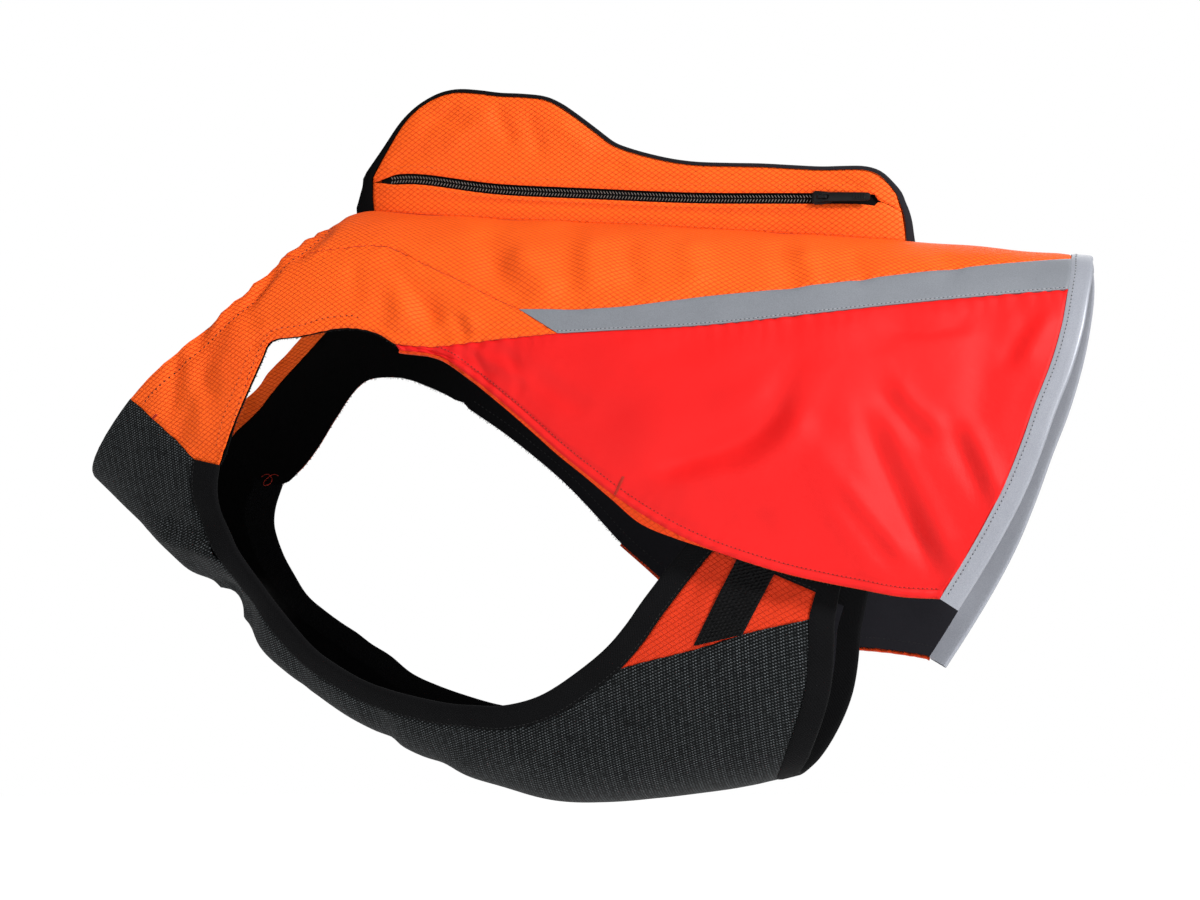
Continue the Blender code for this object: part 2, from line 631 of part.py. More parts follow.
def make_cloth():
    wings = {}
    for side, hand in HANDS.items():
        patches = shell_patches(side)
        wings[side] = wing_patches(side, patches.pop("shoulder_hem"))
        make_shell(side, {name: patch * hand for name, patch in patches.items()})
        make_wing(side, wings[side], hand)

    chest = chest_patch(wings["left"], wings["right"])
    lining = [chest, wings["left"]["wing"], wings["right"]["wing"] * [1, -1] + [0, 2 * math.pi]]
    cloth("chest_panel", [chest], 0, KNIT, "charcoal_knit", inner_relief)
    cloth("chest_lining", lining, -LAYER_GAP - LINING, -LAYER_GAP, "black_lining", inner_relief)
    cloth("belly_rear_binding", [wings["left"]["rear_binding"]], BINDING_IN, BINDING_OUT,
          "black_binding", inner_relief)


# ---------------------------------------------------------------- the pocket
def pocket_half(side_view):
    """Half thickness of the pocket at side-view points, thin along its outline."""
    outline = np.vstack([divided(POCKET_FRONT, 4), divided(POCKET_OUTLINE, 40)[1:],
                         divided(POCKET_REAR[::-1], 4)[1:]])
    start, run = outline[:-1], np.diff(outline, axis=0)
    offset = side_view[..., None, :] - start
    share = np.clip(np.sum(offset * run, -1) / np.sum(run * run, -1), 0, 1)
    away = np.linalg.norm(offset - share[..., None] * run, axis=-1).min(-1)
    swell = 1 - np.exp(-away / POCKET_EASE)
    return POCKET_EDGE_HALF + (POCKET_BELLY_HALF - POCKET_EDGE_HALF) * swell


def back_surface():
    """The outside of both back panels, to stand the pocket on."""
    bm = bmesh.new()
    for side in ("left", "right"):
        bm.from_mesh(bpy.data.objects[f"back_panel_{side}"].data)
    surface = BVHTree.FromBMesh(bm)
    bm.free()
    return surface


def back_top(surface, x, y):
    """Height of the outside of the back at (x, y), in mm."""
    reach = max(abs(y), 1.0) * (1 if y > 0 else -1)
    start = Vector((x * MM, reach * MM, 0.2))
    return surface.ray_cast(start, Vector((0, 0, -1)))[0].z / MM


def pocket_base(surface, xs):
    """The walls' lower edge: it stands clear of the back at its points and between them."""
    columns = len(xs) - 1
    fine_x = np.interp(np.linspace(0, columns, 8 * columns + 1), range(columns + 1), xs)
    fine_z = np.array([back_top(surface, x, -POCKET_BELLY_HALF) for x in fine_x])
    half = pocket_half(np.stack([fine_x, fine_z], -1))
    fine_z = np.array([back_top(surface, x, -y) for x, y in zip(fine_x, half - CLOTH)])
    zs = fine_z[::8].copy()
    for _ in range(4):
        short = np.maximum(fine_z - np.interp(fine_x, xs, zs), 0)
        zs += [short[max(8 * k - 8, 0):8 * k + 9].max() for k in range(columns + 1)]
    return np.stack([xs, zs + SEAM_GAP], -1)


def pocket_wall(name, patch, side):
    """A pocket wall on one side: -1 is the left, +1 the right."""
    half = pocket_half(patch)
    layers = []
    for depth in (half - CLOTH, half):
        layers.append(np.stack([patch[..., 0], side * depth, patch[..., 1]], -1))
    wall(name, *layers, "orange_ripstop")


def zip_gap(x):
    opening = smooth_step((x - ZIP_STARTS[0]) / (ZIP_STARTS[1] - ZIP_STARTS[0]))
    closing = smooth_step((ZIP_ENDS[1] - x) / (ZIP_ENDS[1] - ZIP_ENDS[0]))
    return 0.2 + ZIP_GAP_HALF * np.minimum(opening, closing)


def make_pocket():
    """Both walls have their columns one above the other, at the outline's own rows."""
    rows = len(POCKET_OUTLINE) - 1
    top = smooth_rows(POCKET_OUTLINE, np.linspace(0, rows, rows * POCKET_STEPS + 1))
    along = (top[:, 0] - top[0, 0]) / (top[-1, 0] - top[0, 0])
    front_x, rear_x = POCKET_FRONT[0][0], POCKET_REAR[0][0]
    surface = back_surface()
    base = pocket_base(surface, front_x + (rear_x - front_x) * along)
    front = eased(divided(POCKET_FRONT, 5), base[0], top[0])
    rear = eased(divided(POCKET_REAR, 5), base[-1], top[-1])
    pocket_wall("pocket_wall_right", between(base, top, front, rear), +1)

    fine = divided(ZIP_LINE, 200)
    zip_x = ZIP_LINE[0][0] + (ZIP_LINE[-1][0] - ZIP_LINE[0][0]) * along
    zip_z = np.interp(zip_x, fine[:, 0], fine[:, 1])
    above = np.stack([zip_x, zip_z + zip_gap(zip_x)], -1)
    below = np.stack([zip_x, zip_z - zip_gap(zip_x)], -1)
    below_front = eased(divided(POCKET_FRONT, 3), base[0], below[0])
    below_rear = straight(base[-1], below[-1], 3)
    pocket_wall("pocket_wall_left_lower", between(base, below, below_front, below_rear), -1)
    above_front, above_rear = straight(above[0], top[0], 4), straight(above[-1], top[-1], 4)
    pocket_wall("pocket_wall_left_upper", between(above, top, above_front, above_rear), -1)
    make_gusset(surface, front, top, rear)


def make_gusset(surface, front, top, rear):
    """The strip that joins the two walls round the outline, rounded out."""
    path = np.vstack([front, top[1:], rear[-2::-1]])
    tangent = np.gradient(path, axis=0)
    tangent /= np.linalg.norm(tangent, axis=1, keepdims=True)
    out = np.stack([-tangent[:, 1], tangent[:, 0]], -1)
    far_front = np.linalg.norm(path - path[0], axis=1)
    far_rear = np.linalg.norm(path - path[-1], axis=1)
    puff = (GUSSET_PUFF + GUSSET_REAR_PUFF * np.exp(-far_rear / GUSSET_FADE)
            + GUSSET_FRONT_PUFF * np.minimum(1.3 * np.exp(-far_front / GUSSET_FADE), 1))
    across = np.linspace(-1, 1, 5)
    layers = []
    for depth in (SEAM_GAP, SEAM_GAP + CLOTH):
        offset = depth + puff[:, None] * (1 - across[None] ** 2)
        points = path[:, None] + out[:, None] * offset[..., None]
        y = np.broadcast_to(across * GUSSET_HALF, offset.shape)
        grid = np.stack([points[..., 0], y, points[..., 1]], -1)
        for column in (0, -1):
            floor = max(back_top(surface, grid[column, k, 0], grid[column, k, 1])
                        for k in range(5))
            grid[column, :, 2] = floor + SEAM_GAP
        layers.append(grid)
    wall("pocket_gusset", *layers, "black_lining")


# ---------------------------------------------------------------- the zip
def zip_strip(name, start_x, end_x, half, depth, thickness, look, segments=18):
    """A strip along the zip, with its outer face depth mm inside the wall's outer face."""
    line = divided(ZIP_LINE, 200)
    xs = np.linspace(start_x, end_x, segments + 1)
    zs = np.interp(xs, line[:, 0], line[:, 1])
    share = np.linspace(-1, 1, 3)
    patch = np.stack([np.broadcast_to(xs[:, None], (len(xs), 3)),
                      zs[:, None] + half * share[None]], -1)
    outer_y = pocket_half(patch) - depth
    layers = []
    for y in (outer_y - thickness, outer_y):
        layers.append(np.stack([patch[..., 0], -y, patch[..., 1]], -1))
    wall(name, *layers, look)


def zip_frame():
    """Origin on the chain's face at the slider, and axes along, out and across."""
    line = divided(ZIP_LINE, 200)
    z = float(np.interp(SLIDER_X, line[:, 0], line[:, 1]))
    ahead = float(np.interp(SLIDER_X + 10, line[:, 0], line[:, 1]))
    along = np.array([10.0, 0.0, ahead - z])
    along /= np.linalg.norm(along)
    out = np.array([0.0, -1.0, 0.0])
    across = np.cross(along, out)
    half = float(pocket_half(np.array([SLIDER_X, z])))
    origin = np.array([SLIDER_X, -half - 0.6, z])
    return origin, along, out, across


def placed(points):
    """Points given along, out and across the zip at the slider, in mm."""
    origin, along, out, across = zip_frame()
    points = np.asarray(points, float)
    return origin + points[..., :1] * along + points[..., 1:2] * out + points[..., 2:] * across


def make_slider():
    """A slider body, waisted towards the tail, and the bail that carries the pull."""
    along = np.array([-0.5, -0.36, 0.1, 0.5]) * SLIDER_LENGTH
    width = np.array([0.72, 1.0, 0.92, 0.66]) * SLIDER_HALF_WIDTH
    share = np.linspace(-1, 1, 3)
    x = np.broadcast_to(along[:, None], (4, 3))
    z = width[:, None] * share[None]
    low = placed(np.stack([x, 0 * x, z], -1))
    high = placed(np.stack([x * 0.94, 0 * x + SLIDER_HEIGHT, z * 0.86], -1))
    wall("zip_slider", low, high, "zip_metal")

    half = BAIL_SPAN / 2
    foot = SLIDER_HEIGHT + 0.3
    roof = SLIDER_HEIGHT + BAIL_HEIGHT
    inside = [(-half, foot), (-half, roof - 0.6), (-half + 0.6, roof),
              (half - 0.6, roof), (half, roof - 0.6), (half, foot)]
    far, up = half + BAIL_WIRE, roof + BAIL_WIRE
    outside = [(-far, foot), (-far, up - 1.0), (-far + 1.0, up),
               (far - 1.0, up), (far, up - 1.0), (far, foot)]
    grids = []
    for profile in (inside, outside):
        rows = [[(x, y, z) for z in (-BAIL_HALF_WIDTH, BAIL_HALF_WIDTH)] for x, y in profile]
        grids.append(placed(rows))
    wall("zip_bail", *grids, "zip_metal")


def make_pull():
    """The flat pull tab: two arms and a bar round the bail, then the tab."""
    inner, outer = PULL_ARM
    height = SLIDER_HEIGHT + PULL_BAR_HEIGHT
    bar = PULL_HALF_THICKNESS
    along = [-bar, bar, PULL_SLOT, PULL_SLOT + 4, PULL_LENGTH - 4, PULL_LENGTH - 1.2,
             PULL_LENGTH]
    width = [0.86, 1.0, 1.0, 1.0, 0.92, 0.84, 0.6]
    across = [-1.0, -inner / outer, inner / outer, 1.0]
    bm = bmesh.new()
    bmesh.ops.create_grid(bm, x_segments=len(along) - 1, y_segments=3, size=0.5)
    cells = {}
    for vert in bm.verts:
        cells[vert] = (round((vert.co.x + 0.5) * (len(along) - 1)), round((vert.co.y + 0.5) * 3))
    slot = [f for f in bm.faces
            if {cells[v] for v in f.verts} == {(1, 1), (1, 2), (2, 1), (2, 2)}]
    bmesh.ops.delete(bm, geom=slot, context="FACES_ONLY")
    bm.verts.index_update()
    flat = np.array([(along[i], 0.0, across[j] * outer * (width[i] if j in (0, 3) else 1.0))
                     for i, j in (cells[v] for v in bm.verts)])
    low = placed(flat + [0, height - bar, 0])
    high = placed(flat + [0, height + bar, 0])
    thicken(bm, low * MM, high * MM)
    add_object("zip_pull", bm, "zip_metal")


def make_zip():
    tape_depth = CLOTH + 1.0
    zip_strip("zip_tape", -176, 166, ZIP_TAPE_HALF, tape_depth, ZIP_TAPE, "black_nylon")
    chain_depth = tape_depth - 0.35 - ZIP_CHAIN
    zip_strip("zip_chain", -166, 148, ZIP_CHAIN_HALF, chain_depth, ZIP_CHAIN, "black_nylon")
    make_slider()
    make_pull()


clear_scene()
make_cloth()
make_pocket()
make_zip()
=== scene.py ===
# %% [markdown]
# # A dog protective vest
# The real vest is cut flat from ripstop, satin, rib knit and lining, and sewn into a tube
# with two leg holes, a pocket along the spine and bound edges. Blender could simulate the
# cloth, but this vest is shown filled out and stiff with lining, so each piece is laid on
# one worn form instead, as its solid in the frame is, only finer. That keeps every seam
# where the frame has it. The frame comes first, because nothing here may move it.

# %% Load the frame
import json
import math
from collections import namedtuple

import bmesh
import bpy
import numpy as np
from mathutils import Matrix, Vector
from mathutils.bvhtree import BVHTree


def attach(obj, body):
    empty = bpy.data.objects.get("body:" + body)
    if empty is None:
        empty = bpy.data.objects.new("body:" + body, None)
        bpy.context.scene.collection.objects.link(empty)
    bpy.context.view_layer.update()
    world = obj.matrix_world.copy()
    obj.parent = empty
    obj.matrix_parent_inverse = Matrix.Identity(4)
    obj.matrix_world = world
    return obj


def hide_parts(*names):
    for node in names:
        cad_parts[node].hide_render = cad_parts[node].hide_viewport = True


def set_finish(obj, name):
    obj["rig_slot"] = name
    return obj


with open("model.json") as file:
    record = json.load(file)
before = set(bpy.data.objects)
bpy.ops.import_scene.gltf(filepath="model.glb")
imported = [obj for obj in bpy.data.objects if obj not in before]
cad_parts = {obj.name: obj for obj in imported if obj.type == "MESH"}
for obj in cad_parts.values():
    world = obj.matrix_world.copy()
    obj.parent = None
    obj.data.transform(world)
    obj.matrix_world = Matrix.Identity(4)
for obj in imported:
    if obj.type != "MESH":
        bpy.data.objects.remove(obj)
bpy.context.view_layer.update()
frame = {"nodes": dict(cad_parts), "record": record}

MM = 0.001
slots = {part["node"]: part["material_slot"] for part in frame["record"]["subparts"]}

# %% [markdown]
# ## The worn form
# All the cloth lies on one closed form, like a dressmaker's dummy. Each section is a
# slanted ring from the spine down to the keel under the belly. A pattern point has a
# place, which counts the sections from the neck to the tail, and a turn, the angle round
# the section: 0 at the spine, pi at the keel, negative on the right side. Sizes are in
# millimetres, seen from the left.

# %% Sections of the worn form
Section = namedtuple("Section", "top_x top_z keel_x keel_z half_width corner egg")
SECTIONS = [
    Section(-198, 10, -376, -151, 69, 1.15, 0.12),
    Section(-184, 19, -322, -202, 72, 1.05, 0.20),
    Section(-158, 17, -245, -278, 80, 0.95, 0.20),
    Section(-105, 11, -152, -335, 88, 0.88, 0.10),
    Section(-35, 5, -60, -366, 93, 0.85, 0.05),
    Section(45, -3, 15, -365, 94, 0.85, 0.00),
    Section(125, -11, 75, -356, 90, 0.85, 0.00),
    Section(205, -20, 120, -345, 82, 0.85, 0.00),
    Section(289, -31, 165, -333, 74, 0.85, 0.00),
    Section(345, -38, 205, -323, 70, 0.85, 0.00),
]
LAST_SECTION = len(SECTIONS) - 1


def smooth_rows(rows, at):
    """Rows of numbers read at any place between them, on a Catmull-Rom curve."""
    rows = np.asarray(rows, float)
    at = np.clip(np.asarray(at, float), 0.0, len(rows) - 1.0)
    first = np.minimum(at.astype(int), len(rows) - 2)
    step = (at - first)[..., None]
    padded = np.vstack([2 * rows[0] - rows[1], rows, 2 * rows[-1] - rows[-2]])
    a, b, c, d = (padded[first + k] for k in range(4))
    cubic = 2 * a - 5 * b + 4 * c - d + step * (3 * (b - c) + d - a)
    return b + 0.5 * step * ((c - a) + step * cubic)


def smooth_step(value):
    value = np.clip(value, 0.0, 1.0)
    return value * value * (3.0 - 2.0 * value)


def form_point(pattern):
    """Point of the form in metres for each (place, turn)."""
    place, turn = pattern[..., 0], pattern[..., 1]
    row = smooth_rows(SECTIONS, place)
    top_x, top_z, keel_x, keel_z, half_width, corner, egg = np.moveaxis(row, -1, 0)
    up, side = np.cos(turn), np.sin(turn)
    x = (top_x + keel_x) / 2 + (top_x - keel_x) / 2 * up
    z = (top_z + keel_z) / 2 + (top_z - keel_z) / 2 * up
    y = -half_width * np.sign(side) * np.abs(side) ** corner * (1 + egg * up)
    return np.stack([x, y, z], -1) * MM


def form_slopes(pattern, step=0.02):
    """How the form's point moves with place and with turn."""
    inside = np.array(pattern, float)
    inside[..., 0] = np.clip(inside[..., 0], step, LAST_SECTION - step)
    along = form_point(inside + [step, 0]) - form_point(inside - [step, 0])
    around = form_point(inside + [0, step]) - form_point(inside - [0, step])
    return along / (2 * step), around / (2 * step)


def form_normal(pattern):
    along, around = form_slopes(pattern)
    normal = np.cross(around, along)
    return normal / np.linalg.norm(normal, axis=-1, keepdims=True)


print("back length in mm", round(math.dist((-198, 10), (289, -31))))

# %% [markdown]
# A seam is easiest to draw where it shows, in the side view. This cell finds the pattern
# point of a side-view point: the section whose slanted line runs through it, and then how
# far down that line it lies. It also moves an edge over the form, for bindings and hems,
# and fills the space between four edges (a Coons patch).

# %% From the side view to the form


def divided(points, parts):
    """Points of the smooth curve: a number of even parts, or shares of its length."""
    fine = smooth_rows(points, np.linspace(0, len(points) - 1, 40 * len(points)))
    length = np.r_[0, np.cumsum(np.linalg.norm(np.diff(fine, axis=0), axis=1))]
    shares = np.linspace(0, 1, parts + 1) if np.isscalar(parts) else parts
    wanted = shares * length[-1]
    return np.stack([np.interp(wanted, length, fine[:, k]) for k in range(2)], -1)


def to_pattern(x, z):
    """The (place, turn) of a side-view point in millimetres, on the left side."""
    places = np.linspace(0, LAST_SECTION, 1801)
    row = smooth_rows(SECTIONS, places)
    off = (x - row[:, 0]) * (row[:, 3] - row[:, 1]) - (z - row[:, 1]) * (row[:, 2] - row[:, 0])
    crossing = np.where(np.sign(off[:-1]) != np.sign(off[1:]))[0]
    if len(crossing):
        k = crossing[0]
        place = places[k] + (places[k + 1] - places[k]) * off[k] / (off[k] - off[k + 1])
    else:
        place = places[np.argmin(np.abs(off))]
    top_z, keel_z = smooth_rows(SECTIONS, place)[[1, 3]]
    up = np.clip((2 * z - top_z - keel_z) / (top_z - keel_z), -1.0, 1.0)
    return place, math.acos(up)


def on_form(side_view):
    return np.array([to_pattern(x, z) for x, z in side_view])


def edge(points, parts):
    """A sewn edge in (place, turn), divided as it is seen from the side."""
    return on_form(divided(points, parts))


def straight(start, end, segments):
    return np.linspace(start, end, segments + 1)


def moved_in(curve, distance):
    """The curve moved over the form by a distance in mm, to the right of its run."""
    curve = np.array(curve, float)
    steps = 3
    for _ in range(steps):
        tangent = np.gradient(form_point(curve), axis=0)
        across = np.cross(tangent, form_normal(curve))
        across /= np.linalg.norm(across, axis=1, keepdims=True)
        along, around = form_slopes(curve)
        for k, move in enumerate(across * distance * MM / steps):
            slopes = np.stack([along[k], around[k]], -1)
            curve[k] += np.linalg.lstsq(slopes, move, rcond=None)[0]
    return curve


def eased(curve, start, end):
    """The curve with its ends moved to the given points, and the rest in proportion."""
    share = np.linspace(0, 1, len(curve))[:, None]
    return curve + (1 - share) * (start - curve[0]) + share * (end - curve[-1])


def between(bottom, top, left, right):
    """The grid that blends four named edges."""
    u = np.linspace(0, 1, len(bottom))[:, None, None]
    v = np.linspace(0, 1, len(left))[None, :, None]
    ruled_v = (1 - v) * bottom[:, None] + v * top[:, None]
    ruled_u = (1 - u) * left[None] + u * right[None]
    corners = ((1 - u) * (1 - v) * bottom[0] + u * (1 - v) * bottom[-1]
               + (1 - u) * v * top[0] + u * v * top[-1])
    return ruled_v + ruled_u - corners


def strip(first, second, rows=1):
    """A narrow patch between two edges."""
    share = np.linspace(0, 1, rows + 1)[None, :, None]
    return (1 - share) * first[:, None] + share * second[:, None]


# %% [markdown]
# ## The cut of the outer shell
# Each side has an orange back, an orange shoulder that runs over the leg hole as an arch,
# a red side flap with reflective tape above it, and the same tape folded round the rear
# hem. The edges below are the frame's own, so the fine cloth covers its solids.

# %% Edges of the outer shell
SPINE_TURN = 4e-4
HEM_TAPE_WIDTH = 12.5
PIPING_WIDTH = 1.7
NECK_TURN = 10.5
BACK_SEAM = [(-229, -19), (-193, -16), (-157, -15), (-126, -30), (-62, -63)]
STRIPE_POINT = [(-62, -63), (-36, -80)]
STRIPE_TOP = [(-62, -63), (-4, -66), (52, -62), (113, -58), (174, -51), (234, -44), (277, -39)]
STRIPE_BOTTOM = [(-36, -80), (53, -78), (114, -73), (174, -67), (234, -62), (276, -59)]
RED_SEAM = [(-141, -83), (-112, -86), (-94, -84), (-36, -80)]
SHOULDER_HEM = [(-322, -110), (-303, -131), (-284, -149), (-265, -154)]
ARCH = [(-265, -154), (-252, -127), (-241, -106), (-233, -90), (-226, -77),
        (-208, -75), (-180, -71), (-157, -74), (-141, -83)]
FLAP_FRONT = [(-138, -87), (-110, -93), (-71, -122), (-32, -156)]
FLAP_REAR = [(-32, -156), (1, -182), (30, -201), (60, -216), (106, -231), (150, -240),
             (195, -248)]
HEM_TOP = [(289, -31), (290, -37), (288, -60)]
HEM_LOWER = [(288, -60), (284, -84), (276, -112), (265, -140), (251, -177),
             (230, -216), (206, -252)]
NECK_CORNER_TURN = math.radians(118)
NECK_SCOOP = 0.26
RIGHT_NECK_BACK = 0.35
RIGHT_DROP = [(-138, 14), (-110, 28), (-71, 32), (-32, 40), (24, 44), (60, 44),
              (106, 34), (150, 29), (206, 28)]
RIGHT_HEM_SHIFT = (-18, -28)
RIGHT_ARCH = [(-265, -154), (-254, -144), (-243, -128), (-232, -108), (-219, -88),
              (-206, -79), (-184, -79), (-160, -88), (-141, -97)]
RIGHT_RED_SEAM = [(-141, -97), (-112, -93), (-94, -88), (-36, -80)]
FRONT_COLUMNS, RED_COLUMNS, REAR_COLUMNS = 16, 5, 11
SEAM_COLUMNS = (0, 3, 7, 11, 16)          # columns of the back seam, and where they
SEAM_SHARES = (0, 0.09, 0.18, 0.45, 1)    # lie on it: closer together over the arch
BACK_ROWS, STRIPE_ROWS, SIDE_ROWS, SHOULDER_ROWS = 5, 1, 8, 7
HANDS = {"left": np.array([1, 1]), "right": np.array([1, -1])}


def dropped(points):
    """Side-view points of the right flap, which hangs lower."""
    table = np.array(RIGHT_DROP, float)
    return [(x, z - np.interp(x, table[:, 0], table[:, 1])) for x, z in points]


def rear_hem(flap):
    """The rear hem from the spine down to the flap's corner."""
    top = on_form(HEM_TOP)
    lower = np.array(HEM_LOWER, float)
    if flap == "right":
        share = (lower[:1, 1:] - lower[:, 1:]) / (lower[0, 1] - lower[-1, 1])
        lower = lower + share * RIGHT_HEM_SHIFT
    hem = np.vstack([straight(top[0], top[1], BACK_ROWS),
                     straight(top[1], top[2], STRIPE_ROWS)[1:],
                     edge(lower, SIDE_ROWS)[1:]])
    hem[0, 1] = SPINE_TURN
    return hem


def neck_edge(flap, turns):
    """The neck edge at the given turns, scooped out at the shoulder."""
    share = np.clip(turns / NECK_CORNER_TURN, 0, 1)
    place = NECK_SCOOP * np.sin(math.pi * share) ** 2
    if flap == "right":
        place = place + RIGHT_NECK_BACK * smooth_step((turns - 1.2) / 0.8)
    return np.stack([place, turns], -1)


# %% Patches of the outer shell
PIPING_FOLD, PIPING_SPREAD, PIPING_MORE = 22.0, 17.0, 3.6
PIPING_TURNS_IN, PIPING_TURN_LENGTH, PIPING_LESS = 42.0, 18.0, 1.5


def piping_width(flap, flap_edge):
    """Wider where it has turned out behind the bar tack; at the left hem it has turned in."""
    x = form_point(flap_edge)[:, :1] / MM
    turned_in = smooth_step((x - PIPING_TURNS_IN) / PIPING_TURN_LENGTH) if flap == "left" else 0.0
    more = PIPING_MORE * np.exp(-((x - PIPING_FOLD) / PIPING_SPREAD) ** 2)
    return PIPING_WIDTH - PIPING_LESS * turned_in + more


def shell_patches(flap):
    """Patches of one side of the outer shell, all as if on the left."""
    front_edge, rear_edge, arch, red_seam = FLAP_FRONT, FLAP_REAR, ARCH, RED_SEAM
    if flap == "right":
        front_edge, rear_edge = dropped(FLAP_FRONT), dropped(FLAP_REAR)
        arch, red_seam = RIGHT_ARCH, RIGHT_RED_SEAM
    hem = rear_hem(flap)
    hem_seam = moved_in(hem, HEM_TAPE_WIDTH)
    hem_seam[0, 1] = SPINE_TURN
    stripe_row, side_row = BACK_ROWS, BACK_ROWS + STRIPE_ROWS
    shares = np.interp(np.arange(FRONT_COLUMNS + 1), SEAM_COLUMNS, SEAM_SHARES)
    back_seam = edge(BACK_SEAM, shares)
    neck_upper = neck_edge(flap, np.linspace(SPINE_TURN, back_seam[0, 1], BACK_ROWS + 1))
    neck_lower = neck_edge(flap, np.linspace(back_seam[0, 1], NECK_CORNER_TURN,
                                             SHOULDER_ROWS + 1))
    back_seam[0] = neck_upper[-1]
    stripe_point = straight(back_seam[-1], to_pattern(*STRIPE_POINT[1]), STRIPE_ROWS)
    stripe_top = eased(edge(STRIPE_TOP, REAR_COLUMNS), back_seam[-1], hem_seam[stripe_row])
    stripe_low = eased(edge(STRIPE_BOTTOM, REAR_COLUMNS), stripe_point[-1], hem_seam[side_row])
    arch = on_form(arch)
    red_seam = eased(edge(red_seam, RED_COLUMNS), arch[-1], stripe_point[-1])
    spine_places = np.r_[shares * back_seam[-1, 0],
                         np.linspace(back_seam[-1, 0], hem_seam[0, 0], REAR_COLUMNS + 1)[1:]]
    spine = np.stack([spine_places, np.full(len(spine_places), SPINE_TURN)], -1)
    spine[0] = neck_upper[0]
    shoulder_hem = on_form(SHOULDER_HEM)
    shoulder_hem[0] = neck_lower[-1]
    shoulder_low = np.vstack([shoulder_hem, arch[1:], red_seam[1:]])
    flap_edge = np.vstack([edge(front_edge, RED_COLUMNS), edge(rear_edge, REAR_COLUMNS)[1:]])
    flap_edge = np.vstack([flap_edge[:-1], hem_seam[-1:]])
    side_top = np.vstack([red_seam, stripe_low[1:]])
    piping = strip(flap_edge, moved_in(flap_edge, piping_width(flap, flap_edge)))
    neck = np.vstack([neck_upper, neck_lower[1:]])
    return {
        "back": between(spine, np.vstack([back_seam, stripe_top[1:]]),
                        neck_upper, hem_seam[:stripe_row + 1]),
        "shoulder": between(back_seam, shoulder_low, neck_lower,
                            straight(back_seam[-1], red_seam[-1], SHOULDER_ROWS)),
        "stripe": between(stripe_top, stripe_low, stripe_point,
                          hem_seam[stripe_row:side_row + 1]),
        "side": between(side_top, flap_edge, straight(side_top[0], flap_edge[0], SIDE_ROWS),
                        hem_seam[side_row:]),
        "hem_tape": strip(hem_seam, hem),
        "piping": piping if flap == "left" else piping[RED_COLUMNS:],
        "neck_turn": strip(neck, moved_in(neck, -NECK_TURN)),
        "shoulder_hem": shoulder_hem,
        "arch": arch,
    }


shells = {side: shell_patches(side) for side in HANDS}
print("shell patches", {name: patch.shape[:2] for name, patch in shells["left"].items()})

# %% [markdown]
# ## The cut of chest and wings
# The chest is one knit panel from leg hole to leg hole, round the keel. Behind each leg
# hole an orange wing joins it, and the side flap hangs over the wing. Elastic binding
# closes the leg holes, the wings and the belly's rear edge.

# %% Edges and patches of chest and wings
BINDING_WIDTH = 15.0
LEG_HOLE = [(-267, -156), (-268, -181), (-260, -202), (-241, -229), (-216, -261),
            (-196, -279), (-168, -294), (-129, -305), (-90, -310), (-50, -304),
            (-6, -276), (17, -249), (36, -225), (54, -204)]
WING_ROW = 10
WING_SEAM = [(7, -284), (25, -279), (52, -272), (83, -262), (118, -254)]
WING_TOP = [(54, -204), (95, -217), (140, -229)]
WING_CORNER = (123, -243)
BELLY_REAR_WING = [(140, -229), (136, -246), (133, -260)]
BELLY_REAR_CHEST = [(133, -260), (131, -285), (127, -305), (118, -327)]
BELLY_KEEL_X = 101.0
WEBBING_FRONT = [(48.5, -274), (107, -166)]
WEBBING_REAR = [(78.6, -267.4), (129, -178)]
RIGHT_HOLE_RISE = [(-270, 0), (-241, -3), (-222, 6), (-209, 13), (-185, 14), (-166, 8),
                   (-122, 3), (-90, 0)]
HOLE_STEPS, CHEST_ROWS, WING_COLUMNS = 2, 14, 7
OTHER_SIDE = [0, 2 * math.pi]


def across_keel(half):
    """A half edge, ending on the keel, and its mirror image carried on past it."""
    return np.vstack([half, half[-2::-1] * [1, -1] + OTHER_SIDE])


